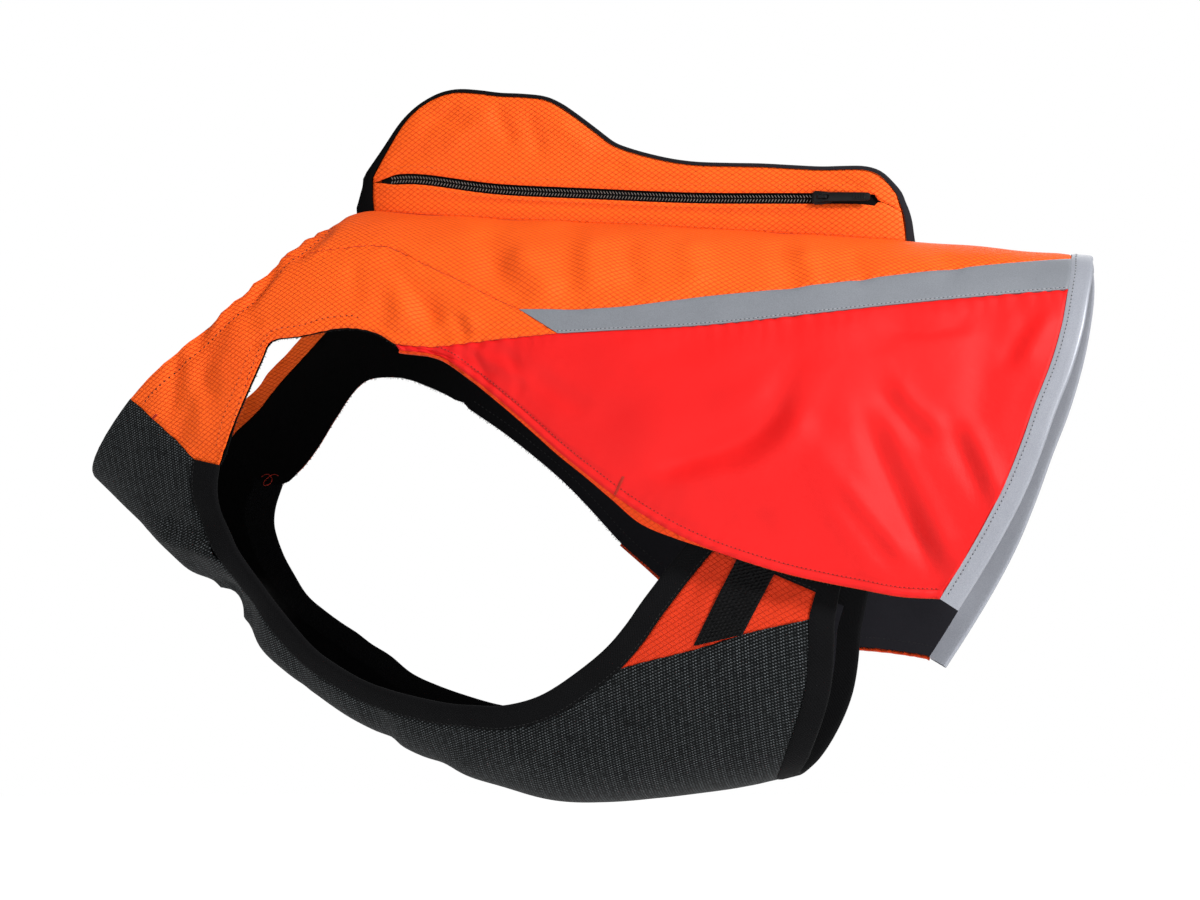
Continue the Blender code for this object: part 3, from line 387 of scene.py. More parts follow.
def wing_patches(side, shoulder_hem):
    """The leg hole, the belly wing and their bindings, all as if on the left."""
    steps = (len(LEG_HOLE) - 1) * HOLE_STEPS + 1
    table = smooth_rows(LEG_HOLE, np.linspace(0, len(LEG_HOLE) - 1, steps))
    if side == "right":
        rise = np.array(RIGHT_HOLE_RISE, float)
        low = table[:, 1] < -200
        table[low, 1] += np.interp(table[low, 0], rise[:, 0], rise[:, 1])
    hole = on_form(table)
    hole[0] = shoulder_hem[3]
    border = moved_in(hole, BINDING_WIDTH)
    border = eased(border, shoulder_hem[2], border[-1])
    start = WING_ROW * HOLE_STEPS
    wing_rows = len(hole) - 1 - start
    top = edge(WING_TOP, WING_COLUMNS)
    top[0] = hole[-1]
    keel_place = np.interp(BELLY_KEEL_X, [s.keel_x for s in SECTIONS], range(len(SECTIONS)))
    rear_low = np.vstack([on_form(BELLY_REAR_CHEST), [(keel_place, math.pi)]])
    rear_low = smooth_rows(rear_low, np.linspace(0, len(rear_low) - 1, CHEST_ROWS // 2 + 1))
    rear = np.vstack([edge(BELLY_REAR_WING, wing_rows)[:-1], rear_low])
    rear_border = moved_in(rear, BINDING_WIDTH)
    rear_border[-1, 1] = math.pi
    corner = np.array(to_pattern(*WING_CORNER))
    rear_wing = eased(rear_border[:wing_rows + 1], corner, rear_border[wing_rows])
    rear_border = np.vstack([rear_wing, rear_border[wing_rows + 1:]])
    top_border = eased(moved_in(top, BINDING_WIDTH), border[-1], corner)
    wing_seam = eased(edge(WING_SEAM, WING_COLUMNS), border[start], rear_border[wing_rows])
    return {
        "chest_edge": np.vstack([shoulder_hem[:2], border[:start + 1], wing_seam[1:]]),
        "chest_rear": across_keel(rear_border[wing_rows:]),
        "wing": between(wing_seam, top_border, border[start:], rear_wing[::-1]),
        "leg_binding": strip(border, hole),
        "wing_binding": strip(top_border, top),
        "rear_binding": strip(across_keel(rear_border), across_keel(rear)),
        "webbing": strip(edge(WEBBING_FRONT, 10), edge(WEBBING_REAR, 10), 2),
    }


def chest_patch(left, right):
    """The chest, from the left leg hole and wing round the keel to the right ones."""
    other = right["chest_edge"] * [1, -1] + OTHER_SIDE
    front = straight(left["chest_edge"][0], other[0], CHEST_ROWS)
    back_set = smooth_step((front[:, 1] - math.pi) / (front[-1, 1] - math.pi))
    front[:, 0] = front[-1, 0] * back_set
    return between(left["chest_edge"], other, front, left["chest_rear"])


wings = {side: wing_patches(side, shells[side]["shoulder_hem"]) for side in HANDS}
chest = chest_patch(wings["left"], wings["right"])
CHEST_CORNERS = (2, 2 + WING_ROW * HOLE_STEPS)
SHOULDER_CORNERS = (3, 11)
print("chest patch", chest.shape[:2])

# %% [markdown]
# ## Folds
# Cloth that hangs and is pulled at its seams has soft troughs and ridges. A cloth
# simulation would put them anywhere; a short table puts them where they show. The first
# tables are the frame's large folds, the later ones are the finer creases that only the
# looks need. A positive depth is a trough, and every row fades out at its ends.

# %% Large folds and the lift of the layers
FLAP_LIFT = 8.0
WING_SINK = 5.0
LINING_EASE = 0.9
Fold = namedtuple("Fold", "side x0 z0 x1 z1 depth half_width")
LEFT, BOTH, RIGHT = 1, 0, -1
OUTER_FOLDS = [
    Fold(LEFT, 118, -138, 60, -178, 3.5, 12),
    Fold(LEFT, 165, -128, 192, -228, 4.5, 13),
    Fold(LEFT, 130, -165, 158, -230, -3.0, 12),
    Fold(LEFT, 230, -90, 214, -160, 2.5, 12),
    Fold(LEFT, -90, -12, -78, -52, 3.0, 11),
    Fold(LEFT, -40, -8, -28, -58, 3.0, 12),
    Fold(LEFT, -128, -42, -112, -78, 3.5, 9),
    Fold(LEFT, -150, -30, -150, -66, 3.0, 9),
    Fold(LEFT, -262, -60, -285, -118, 3.0, 9),
    Fold(RIGHT, 110, -150, 60, -205, 3.5, 12),
    Fold(RIGHT, 170, -140, 186, -235, 4.5, 14),
    Fold(RIGHT, 225, -95, 208, -175, 2.5, 12),
    Fold(RIGHT, -84, -14, -70, -54, 3.0, 11),
    Fold(RIGHT, -30, -10, -20, -58, 2.5, 12),
    Fold(RIGHT, -130, -40, -112, -78, 3.0, 9),
    Fold(RIGHT, -258, -64, -280, -122, 3.0, 9),
]
KNIT_FOLDS = [
    Fold(BOTH, -318, -176, -262, -196, 3.0, 9),
    Fold(BOTH, -292, -230, -264, -250, 17.0, 15),
    Fold(BOTH, -128, -345, -96, -318, 3.0, 10),
]


def off_curve(side_view, curve):
    """Share along each leg of a curve that points lie beside, and their distance from it."""
    start, run = curve[:-1], np.diff(curve, axis=0)
    offset = side_view[..., None, :] - start
    share = np.clip(np.sum(offset * run, -1) / np.sum(run * run, -1), 0, 1)
    return share, np.linalg.norm(offset - share[..., None] * run, axis=-1)


def fold_depth(pattern, folds):
    """How far the folds press the cloth in, in mm."""
    side_view = form_point(pattern)[..., [0, 2]] / MM
    side = np.where(np.sin(pattern[..., 1]) >= 0, LEFT, RIGHT)
    total = np.zeros(side.shape)
    for fold in folds:
        share, away = off_curve(side_view, np.array([(fold.x0, fold.z0), (fold.x1, fold.z1)]))
        fade = np.sin(np.pi * np.clip(share, 0.12, 0.88)) ** 0.5
        dent = fold.depth * fade * np.exp(-(away / fold.half_width) ** 2)
        total += np.where((fold.side == BOTH) | (fold.side == side), dent[..., 0], 0.0)
    return total


def outer_relief(pattern):
    """The flap stands away from the form behind the leg and towards its edge."""
    place, turn = pattern[..., 0], np.abs(pattern[..., 1])
    behind_leg = smooth_step((place - 3.0) / 2.0)
    down = smooth_step((turn - math.radians(55)) / math.radians(55))
    return FLAP_LIFT * behind_leg * down - fold_depth(pattern, OUTER_FOLDS)


def lining_relief(pattern):
    """The lining follows the creases of its panels, a little further in."""
    return outer_relief(pattern) - crease_depth(pattern, CREASES) - LINING_EASE


def inner_relief(pattern):
    """The wing lies inside the form where the flap covers it."""
    place, turn = pattern[..., 0], np.abs(pattern[..., 1])
    turn = np.where(turn > math.pi, 2 * math.pi - turn, turn)
    on_wing = smooth_step((place - 4.2) / 0.8)
    up = smooth_step((math.radians(128) - turn) / math.radians(26))
    return -WING_SINK * on_wing * up - fold_depth(pattern, KNIT_FOLDS)


def chest_lining_relief(pattern):
    return (inner_relief(pattern) - LINING_EASE
            - np.maximum(crease_depth(pattern, WING_CREASES + KNIT_CREASES), 0))


# %% Finer creases
Crease = namedtuple("Crease", "depth half_width path")
CREASES = [
    # the flap: each fold is a ridge with a trough beside it
    Crease(3.4, 6.5, [(150, -128), (162, -164), (179, -203), (197, -234)]),
    Crease(-3.6, 8.0, [(163, -120), (176, -160), (192, -200), (209, -236)]),
    Crease(2.2, 5.0, [(201, -138), (213, -166), (225, -194)]),
    Crease(-2.8, 6.0, [(211, -134), (223, -163), (236, -196)]),
    Crease(1.9, 5.0, [(130, -176), (149, -203), (172, -230)]),
    Crease(-2.0, 5.5, [(139, -172), (158, -199), (184, -230)]),
    Crease(5.0, 9.0, [(112, -104), (97, -136), (67, -156), (20, -170)]),
    Crease(-4.2, 10.0, [(126, -114), (112, -146), (82, -170), (34, -184)]),
    Crease(1.9, 4.5, [(160, -117), (176, -140), (196, -158)]),
    Crease(-1.9, 5.0, [(168, -110), (184, -132), (206, -151)]),
    Crease(1.2, 7.0, [(57, -205), (80, -203), (101, -196)]),
    Crease(1.5, 5.0, [(160, -79), (190, -84), (222, -78)]),
    Crease(-1.6, 6.5, [(247, -112), (257, -90), (270, -71)]),
    Crease(1.4, 6.0, [(234, -112), (246, -88), (256, -72)]),
    Crease(1.1, 7.0, [(-58, -98), (-36, -118), (-10, -132)]),
    Crease(-1.1, 4.5, [(-98, -90), (-76, -98), (-52, -112)]),
    Crease(1.4, 3.5, [(-119, -87), (-104, -91), (-88, -98)]),
    Crease(1.5, 2.6, [(-124, -86), (-116, -91), (-106, -96)]),
    Crease(-1.3, 2.6, [(-110, -86), (-100, -95), (-92, -104)]),
    Crease(1.6, 3.0, [(-96, -87), (-86, -96), (-80, -110)]),
    Crease(1.2, 4.0, [(-74, -86), (-62, -100), (-58, -122)]),
    # the shoulder over the arch, and the back
    Crease(2.8, 6.0, [(-145, -27), (-131, -51), (-112, -75)]),
    Crease(-1.8, 7.0, [(-158, -26), (-146, -50), (-130, -72)]),
    Crease(2.6, 8.0, [(-89, -18), (-73, -42), (-54, -62)]),
    Crease(-2.6, 8.0, [(-73, -14), (-55, -38), (-34, -56)]),
    Crease(2.0, 4.0, [(-107, -62), (-99, -74), (-94, -86)]),
    Crease(-1.5, 3.5, [(-98, -62), (-91, -72), (-86, -84)]),
    Crease(1.5, 3.0, [(-91, -74), (-86, -82), (-83, -89)]),
    Crease(2.2, 8.0, [(0, -10), (4, -32), (13, -54)]),
    Crease(-2.0, 8.0, [(-24, -8), (-22, -32), (-14, -56)]),
    Crease(-1.8, 9.0, [(42, -12), (44, -34), (52, -54)]),
    Crease(2.4, 9.0, [(97, -12), (102, -34), (111, -58)]),
    Crease(-1.6, 6.0, [(113, -22), (117, -38), (124, -54)]),
    Crease(1.6, 6.0, [(141, -24), (147, -38), (154, -54)]),
    Crease(1.2, 7.0, [(196, -30), (202, -38), (214, -44)]),
    Crease(1.4, 6.0, [(-176, -22), (-172, -40), (-168, -58)]),
    # the neck's side of the shoulder
    Crease(4.2, 4.5, [(-292, -72), (-295, -104), (-303, -124)]),
    Crease(4.5, 4.5, [(-262, -46), (-274, -66), (-284, -84)]),
    Crease(4.0, 4.5, [(-226, -20), (-238, -42), (-249, -56)]),
    Crease(3.4, 4.0, [(-194, 6), (-208, -13), (-217, -24)]),
    Crease(3.0, 4.0, [(-244, -34), (-254, -50), (-262, -62)]),
    Crease(-2.6, 5.0, [(-250, -40), (-262, -58), (-270, -70)]),
    Crease(1.7, 4.5, [(-287, -120), (-292, -132), (-297, -143)]),
    Crease(-1.8, 5.0, [(-283, -86), (-280, -110), (-275, -140)]),
    Crease(2.0, 5.0, [(-280, -92), (-271, -102), (-262, -112)]),
    Crease(-1.6, 5.0, [(-262, -66), (-246, -72), (-226, -66)]),
    Crease(1.5, 5.0, [(-250, -52), (-240, -64), (-234, -84)]),
]
WING_CREASES = [
    Crease(1.0, 3.0, [(36, -262), (50, -242), (62, -222)]),
    Crease(-0.9, 2.6, [(48, -264), (58, -248), (66, -232)]),
    Crease(0.8, 2.4, [(58, -258), (69, -242), (78, -226)]),
    Crease(1.0, 3.0, [(92, -252), (107, -238), (120, -226)]),
    Crease(-0.8, 2.6, [(100, -256), (112, -246), (124, -238)]),
]
KNIT_CREASES = [
    Crease(3.2, 3.4, [(-334, -178), (-297, -193), (-258, -205)]),
    Crease(-3.6, 4.5, [(-334, -187), (-297, -202), (-258, -215)]),
    Crease(-1.8, 7.0, [(-300, -170), (-290, -192), (-276, -214)]),
    Crease(2.2, 7.0, [(-232, -262), (-222, -280), (-214, -296)]),
    Crease(2.4, 8.0, [(-170, -300), (-164, -320), (-160, -336)]),
    Crease(-1.6, 10.0, [(-80, -316), (-74, -334), (-70, -352)]),
    Crease(1.5, 11.0, [(-20, -296), (-6, -324), (10, -352)]),
    Crease(1.3, 9.0, [(60, -286), (62, -316), (66, -344)]),
]
CREASE_PARTS = 8


def along_creases(side_view, creases):
    """How far the creases press side-view points in, in mm; each fades out at its ends."""
    total = np.zeros(side_view.shape[:-1])
    for depth, half_width, path in creases:
        share, away = off_curve(side_view, divided(path, CREASE_PARTS))
        nearest = away.argmin(-1)[..., None]
        gone = (nearest + np.take_along_axis(share, nearest, -1))[..., 0] / CREASE_PARTS
        fade = smooth_step(gone / 0.3) * smooth_step((1 - gone) / 0.25)
        total += depth * (0.12 + 0.88 * fade) * np.exp(-(away.min(-1) / half_width) ** 2)
    return total


def crease_depth(pattern, creases):
    return along_creases(form_point(pattern)[..., [0, 2]] / MM, creases)


Wave = namedtuple("Wave", "length way start height")
WAVES = [Wave(61.0, 0.35, 0.9, 0.26), Wave(43.0, -0.8, 2.1, 0.20), Wave(31.0, 1.9, 0.4, 0.14)]


def unevenness(points):
    """A slow waviness of a few tenths of a millimetre, as in any cloth."""
    x, y, z = np.moveaxis(points / MM, -1, 0)
    return sum(height * np.sin(2 * math.pi * (x * math.cos(way) + z * math.sin(way) + 0.4 * y)
                               / length + start)
               for length, way, start, height in WAVES)


# %% [markdown]
# ## From a patch to cloth
# A patch of the cut has few points. `refined` reads it on a smooth curve every few
# millimetres, with a few more rows beside each border, so that the cloth can round off
# into its seams. `reach` then says how far each point is from the four borders: the seam
# valleys and the puckers beside stitching are made from that.

# %% Finer patches
RIMS = (0.7, 1.6, 3.2)
CLOTH_STEP, TRIM_STEP = 2.6, 3.0


def read_at(rows, at, corners=()):
    """smooth_rows for rows of any shape, with the curve kept sharp at the corners."""
    flat = rows.reshape(len(rows), -1)
    read = np.empty((len(at), flat.shape[1]))
    cuts = [0, *corners, len(rows) - 1]
    for start, end in zip(cuts, cuts[1:]):
        here = (at >= start) & (at <= end)
        read[here] = smooth_rows(flat[start:end + 1], at[here] - start)
    return read.reshape(len(at), *rows.shape[1:])


def stations(points, step, rims=(), corners=()):
    """Places along a line of points in metres: one every step mm, and one at each rim."""
    length = np.r_[0, np.cumsum(np.linalg.norm(np.diff(points, axis=0), axis=1))] / MM
    marks = [0.0, *(length[c] for c in corners), length[-1]]
    wanted = [0.0]
    for start, end in zip(marks, marks[1:]):
        wanted.extend(np.linspace(start, end, max(1, round((end - start) / step)) + 1)[1:])
    wanted += [*rims, *(length[-1] - rim for rim in rims)]
    return np.interp(np.unique(np.round(wanted, 3)), length, np.arange(len(points)))


def read_grid(patch, along, across, corners=()):
    """A patch read at places along and across it."""
    fine = read_at(patch, along, corners)
    return np.swapaxes(read_at(np.swapaxes(fine, 0, 1), across), 0, 1)


def refined(patch, step, rims=RIMS, corners=(), placed=form_point):
    """The patch with a point every step mm, and rows at the rims from its borders."""
    points = placed(patch)
    along = stations(points[:, points.shape[1] // 2], step, rims, corners)
    across = stations(points[len(points) // 2], step, rims)
    return read_grid(patch, along, across, corners)


def reach(points):
    """How far each point of a grid is from its start, end, first and last border, in mm."""
    steps = np.linalg.norm(np.diff(points, axis=0), axis=-1) / MM
    along = np.vstack([np.zeros((1, points.shape[1])), np.cumsum(steps, axis=0)])
    steps = np.linalg.norm(np.diff(points, axis=1), axis=-1) / MM
    across = np.hstack([np.zeros((points.shape[0], 1)), np.cumsum(steps, axis=1)])
    return {"start": along, "end": along[-1:] - along,
            "first": across, "last": across[:, -1:] - across}


def unrolled(pattern):
    """The cloth laid flat, in metres: along the body, and round it from the spine."""
    share = np.linspace(0, 1, 49)
    turns = pattern[..., 1, None] * share
    fans = np.stack([np.broadcast_to(pattern[..., 0, None], turns.shape), turns], -1)
    points = form_point(fans)
    round_it = np.linalg.norm(np.diff(points[..., 1:], axis=-2), axis=-1).sum(-1)
    return np.stack([points[..., -1, 0], round_it * np.sign(pattern[..., 1])], -1)


# %% [markdown]
# A wall is made from a flat grid: `create_grid` makes the sheet, an extrusion gives it a
# second face, and then every point is pulled to its place, the lower face on the inner
# points and the upper one on the outer. The flat pattern becomes the UV map, in metres,
# so that a weave keeps its real scale on every piece.

# %% A grid pulled into a cloth wall
pieces = {}


def raised(bm, faces, height):
    """The faces get a second copy higher up, with walls between; gives its points."""
    made = bmesh.ops.extrude_face_region(bm, geom=faces, use_keep_orig=True)
    upper = [item for item in made["geom"] if isinstance(item, bmesh.types.BMVert)]
    bmesh.ops.translate(bm, verts=upper, vec=(0, 0, height))
    return upper


def as_mesh(name, bm):
    mesh = bpy.data.meshes.new(name)
    bm.to_mesh(mesh)
    bm.free()
    return mesh


def in_scene(name, data):
    """A new object with this data, linked to the scene."""
    made = bpy.data.objects.new(name, data)
    bpy.context.scene.collection.objects.link(made)
    return made


def grid_wall(name, inner, outer, flat):
    """A closed wall between two grids of points in metres, with its cut as UV map."""
    columns, rows = inner.shape[0] - 1, inner.shape[1] - 1
    bm = bmesh.new()
    bmesh.ops.create_grid(bm, x_segments=columns, y_segments=rows, size=0.5)
    raised(bm, bm.faces[:], 1)
    bmesh.ops.recalc_face_normals(bm, faces=bm.faces)
    mesh = as_mesh(name, bm)
    slab = np.empty(3 * len(mesh.vertices))
    mesh.vertices.foreach_get("co", slab)
    slab = slab.reshape(-1, 3)
    column, row = np.rint((slab[:, :2] + 0.5) * (columns, rows)).astype(int).T
    on_top = slab[:, 2:] > 0.5
    place = np.where(on_top, outer[column, row], inner[column, row])
    mesh.vertices.foreach_set("co", place.ravel())
    i, j = columns // 2, rows // 2
    out = np.cross(outer[i + 1, j] - outer[i, j], outer[i, j + 1] - outer[i, j])
    if out @ (outer[i, j] - inner[i, j]) < 0:
        mesh.flip_normals()
    corner = np.empty(len(mesh.loops), int)
    mesh.loops.foreach_get("vertex_index", corner)
    mesh.uv_layers.new(name="cut").data.foreach_set("uv", flat[column, row][corner].ravel())
    return smooth_piece(name, mesh)


def smooth_piece(name, mesh, angle=50):
    """The mesh as a shaded object in the scene."""
    mesh.shade_smooth()
    mesh.set_sharp_from_angle(angle=math.radians(angle))
    mesh.update()
    pieces[name] = in_scene(name, mesh)
    return pieces[name]


def dress(piece, node, body="vest"):
    """The piece stands for a node of the frame, in its finish, and rides with its body."""
    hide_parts(node)
    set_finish(piece, slots[node])
    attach(piece, body)
    return piece


# %% [markdown]
# ## Panels
# A panel is a fine patch lifted off the form by its relief. Its outer face falls away in
# the last millimetre and a half, so two panels meet in a shallow valley with the seam at
# the bottom, as sewn cloth does. Along a stitched seam the thread gathers the cloth a
# little, which shows as puckers that die out within a centimetre.

# %% Panels
LAYER_GAP = 0.35
CLOTH, LINING, KNIT = 1.2, 1.1, 1.8
SEAM_VALLEY = 0.75
VALLEY_WIDTH = 1.7
GATHERS = (0.85, 13.0, 9.0)     # puckers of the neck's hem: height, pitch and fade


def puckers(borders, sides, height=0.5, pitch=9.5, fade=7.0):
    """Small waves square to the named borders."""
    run = {"start": "first", "end": "first", "first": "start", "last": "start"}
    total = 0.0
    for side in sides:
        along = borders[run[side]]
        phase = 2 * math.pi * along / pitch + 1.7 * np.sin(along / 17) + 1.1 * np.sin(along / 7.3)
        waves = np.sin(phase) * (0.6 + 0.4 * np.sin(along / 29))
        total = total + height * waves * np.exp(-borders[side] / fade)
    return total


def grooved(borders, grooves):
    """The stitch lines press the cloth in: (border, how far in, depth, half width) in mm."""
    return sum(depth * np.exp(-((borders[side] - far) / half_width) ** 2)
               for side, far, depth, half_width in grooves)


def lifted(points, normals, lift):
    """Points moved out along their normals by a lift in mm."""
    return points + normals * (lift * MM)[..., None]


def panel(node, patch, thick, relief, seams=(), creases=(), corners=(), step=CLOTH_STEP,
          valley=SEAM_VALLEY, pucker=0.5, grooves=(), gathers=()):
    """A cloth panel on the form, with its cut in metres as UV map."""
    pattern = refined(patch, step, corners=corners)
    points, normals = form_point(pattern), form_normal(pattern)
    borders = reach(points)
    near = np.minimum.reduce(list(borders.values()))
    lift = (relief(pattern) - crease_depth(pattern, creases) + unevenness(points)
            * smooth_step(near / 12) + puckers(borders, seams, pucker)
            - grooved(borders, grooves) + puckers(borders, gathers, *GATHERS))
    sunk = valley * (1 - smooth_step(near / VALLEY_WIDTH))
    flat = unrolled(pattern)
    piece = dress(grid_wall(f"{node}_cloth", lifted(points, normals, lift),
                            lifted(points, normals, lift + thick - sunk), flat), node)


NECK_GROOVE = ("start", 9.0, 1.4, 2.0)
cuts = {side: {name: patch * hand for name, patch in (shells[side] | wings[side]).items()}
        for side, hand in HANDS.items()}
for side, cut in cuts.items():
    panel(f"back_panel_{side}", cut["back"], CLOTH, outer_relief, ["last"], CREASES,
          grooves=[NECK_GROOVE], gathers=["start"])
    panel(f"shoulder_panel_{side}", cut["shoulder"], CLOTH, outer_relief,
          ["first", "last"], CREASES, SHOULDER_CORNERS, pucker=0.6,
          grooves=[NECK_GROOVE, ("last", 8.0, 0.8, 1.5)], gathers=["start"])
    panel(f"side_panel_{side}", cut["side"], CLOTH, outer_relief, ["first", "last"],
          CREASES, pucker=0.75, grooves=[("last", 5.5, 0.9, 1.3)])
    panel(f"reflective_stripe_{side}", cut["stripe"], CLOTH + 0.35, outer_relief,
          creases=CREASES, valley=0.3, pucker=0.0)
    panel(f"belly_wing_{side}", cut["wing"], CLOTH, inner_relief, ["first", "end"], WING_CREASES)

panel("chest_panel", chest, KNIT, inner_relief, ["first", "last"], KNIT_CREASES, CHEST_CORNERS,
      step=3.4, pucker=0.35)

# %% [markdown]
# ## Linings
# A lining is one sheet under several panels, so its patches are merged where they share
# an edge: the points of both lie at the same pattern point there. It needs fewer points,
# because it is seen only through the openings.

# %% Linings
LINING_CELLS = 3
LINING_LOW, LINING_HIGH = -LAYER_GAP - LINING, -LAYER_GAP


def lining(node, patches, relief):
    """One sheet from patches that share edges, a little inside the panels."""
    bm = bmesh.new()
    for patch in patches:
        columns, rows = ((n - 1) * LINING_CELLS for n in patch.shape[:2])
        fine = read_grid(patch, np.linspace(0, len(patch) - 1, columns + 1),
                         np.linspace(0, patch.shape[1] - 1, rows + 1))
        made = bmesh.ops.create_grid(bm, x_segments=columns, y_segments=rows, size=0.5)
        for vert in made["verts"]:
            column = round((vert.co.x + 0.5) * columns)
            row = round((vert.co.y + 0.5) * rows)
            vert.co = (*fine[column, row], 0.0)
    bmesh.ops.remove_doubles(bm, verts=bm.verts, dist=1e-5)
    raised(bm, bm.faces[:], 1)
    slab = np.array([v.co for v in bm.verts])
    pattern, on_top = slab[:, :2], slab[:, 2] > 0.5
    flat = unrolled(pattern)
    lift = relief(pattern) + np.where(on_top, LINING_HIGH, LINING_LOW)
    for vert, place in zip(bm.verts, lifted(form_point(pattern), form_normal(pattern), lift)):
        vert.co = place
    bmesh.ops.recalc_face_normals(bm, faces=bm.faces)
    cut_map = bm.loops.layers.uv.new("cut")
    for face in bm.faces:
        for loop in face.loops:
            loop[cut_map].uv = flat[loop.vert.index]
    name = f"{node}_cloth"
    piece = dress(smooth_piece(name, as_mesh(name, bm)), node)


for side, cut in cuts.items():
    lining(f"lining_{side}", [cut[name] for name in ("back", "shoulder", "stripe", "side")],
           lining_relief)
lining("chest_lining", [chest, cuts["left"]["wing"], cuts["right"]["wing"] + OTHER_SIDE],
       chest_lining_relief)

# %% [markdown]
# ## Folded trims
# A binding or a hem tape is one narrow strip folded over the raw edges. Its profile runs
# from the seam on the outside to the edge, half round, and back on the inside. The strip
# is swept along the edge as a grid, and its thickness is set square to the grid.

# %% Folded strips
FOLD_TURNS = 7
TUCK = np.array([0.35, 0.0, 0.0, 0.0])     # the sewn edge is pressed in a little
BINDING_OUTSIDE, BINDING_INSIDE, BINDING_LEAF = 2.2, -1.7, 0.9
HEM_TAPE_OUTSIDE, HEM_TAPE_INSIDE, HEM_TAPE_LEAF = 1.75, -1.75, 0.6


def fold_profile(width, outside, inside, leaf):
    """(share of the width, lift in mm) along the middle of a strip folded over an edge."""
    radius = (outside - inside - leaf) / 2
    middle = (outside + inside) / 2
    turn = np.linspace(math.pi / 2, -math.pi / 2, FOLD_TURNS)
    round_end = np.stack([1 - radius / width * (1 - np.cos(turn)), middle + radius * np.sin(turn)],
                         -1)
    flat_part = np.array([0.0, 0.12, 0.45, 0.75]) * (1 - radius / width)
    top = np.stack([flat_part, middle + radius - TUCK], -1)
    back = np.stack([flat_part[::-1], np.full_like(TUCK, middle - radius)], -1)
    return np.vstack([top, round_end, back])


def grid_normal(points):
    """Directions square to a grid of points."""
    normal = np.cross(np.gradient(points, axis=0), np.gradient(points, axis=1))
    return normal / np.linalg.norm(normal, axis=-1, keepdims=True)


def folded_strip(node, patch, width, outside, inside, leaf, relief, wobble=0.25):
    """A strip folded round the patch's second edge."""
    profile = fold_profile(width, outside, inside, leaf)
    along = stations(form_point(patch[:, 0]), TRIM_STEP)
    first, second = (read_at(patch[:, k], along)[:, None] for k in (0, -1))
    share = profile[None, :, :1]
    pattern = (1 - share) * first + share * second
    middle = form_point(pattern)
    far = reach(middle)["start"][:, :1]
    uneven = wobble * np.sin(far / 11 + 1.3 * np.sin(far / 27))
    middle = lifted(middle, form_normal(pattern), relief(pattern) + profile[None, :, 1] + uneven)
    out = grid_normal(middle) * leaf / 2 * MM
    across = reach(middle)["first"] * MM
    flat = np.stack([np.broadcast_to(far * MM, across.shape), across], -1)
    piece = dress(grid_wall(f"{node}_cloth", middle - out, middle + out, flat), node)


binding = (BINDING_WIDTH, BINDING_OUTSIDE, BINDING_INSIDE, BINDING_LEAF, inner_relief)
hem_tape = (HEM_TAPE_WIDTH, HEM_TAPE_OUTSIDE, HEM_TAPE_INSIDE, HEM_TAPE_LEAF, outer_relief)
for side, cut in cuts.items():
    folded_strip(f"leg_binding_{side}", cut["leg_binding"], *binding)
    folded_strip(f"wing_binding_{side}", cut["wing_binding"], *binding)
    folded_strip(f"hem_tape_{side}", cut["hem_tape"], *hem_tape, wobble=0.12)
folded_strip("belly_rear_binding", cuts["left"]["rear_binding"], *binding)

# %% Webbing, piping and the turned neck edge
WEBBING, WEBBING_LOW = 1.4, CLOTH + LAYER_GAP + 0.1
RIB_PITCH, RIB_HEIGHT, SELVEDGE_THINNER = 2.7, 0.42, 0.5
FACING = 1.0


def webbing_relief(pattern):
    """The strap lies on the wing, climbs its binding and ends against the flap lining."""
    turn = np.abs(pattern[..., 1])
    over_binding = smooth_step((math.radians(114) - turn) / math.radians(4))
    up_to_flap = smooth_step((math.radians(101) - turn) / math.radians(9))
    on_wing = inner_relief(pattern) + (BINDING_OUTSIDE - CLOTH) * over_binding
    under_flap = outer_relief(pattern) - 2 * LAYER_GAP - LINING - WEBBING - CLOTH - 1.4
    return (1 - up_to_flap) * on_wing + up_to_flap * under_flap


def along_and_across(points):
    """A strip's own flat pattern, in metres."""
    borders = reach(points)
    middle = borders["start"][:, points.shape[1] // 2]
    return np.stack([np.broadcast_to(middle[:, None], points.shape[:2]), borders["first"]],
                    -1) * MM


def trim(node, pattern, low, high, flat):
    """A plain wall on the form, between two lifts in mm."""
    points, normals = form_point(pattern), form_normal(pattern)
    return dress(grid_wall(f"{node}_cloth", lifted(points, normals, low),
                           lifted(points, normals, high), flat), node)


for side, cut in cuts.items():
    pattern = refined(cut["webbing"], 0.75, rims=(0.5, 1.2))
    points = form_point(pattern)
    borders = reach(points)
    near = np.minimum(borders["first"], borders["last"])
    ribs = (RIB_HEIGHT * np.cos(2 * math.pi * borders["start"] / RIB_PITCH)
            * smooth_step(near / 1.5))
    low = webbing_relief(pattern) + WEBBING_LOW
    selvedge = SELVEDGE_THINNER * (1 - smooth_step(near / 1.3))
    strap = trim(f"webbing_{side}", pattern, low, low + WEBBING - 0.3 + ribs - selvedge,
                 along_and_across(points))

    pattern = refined(cut["neck_turn"], TRIM_STEP, rims=())
    high = lining_relief(pattern) + LINING_LOW - 0.4
    facing = trim(f"neck_facing_{side}", pattern, high - FACING, high, unrolled(pattern))

    pattern = refined(cut["piping"], TRIM_STEP, rims=())
    lift = outer_relief(pattern) + puckers(reach(form_point(pattern)), ["first"])
    trim(f"edge_piping_{side}", pattern, lift + LINING_LOW, lift + 0.5, unrolled(pattern))

# %% [markdown]
# ## The pocket
# The pocket stands along the spine: two walls joined round the outline by a black strip,
# with the zip in the left wall. Its walls are drawn in the side view, and a half thickness
# says how far each point stands out: thin at the outline, fuller inside. The lower edge
# follows the back, found with rays cast down on the back panels.

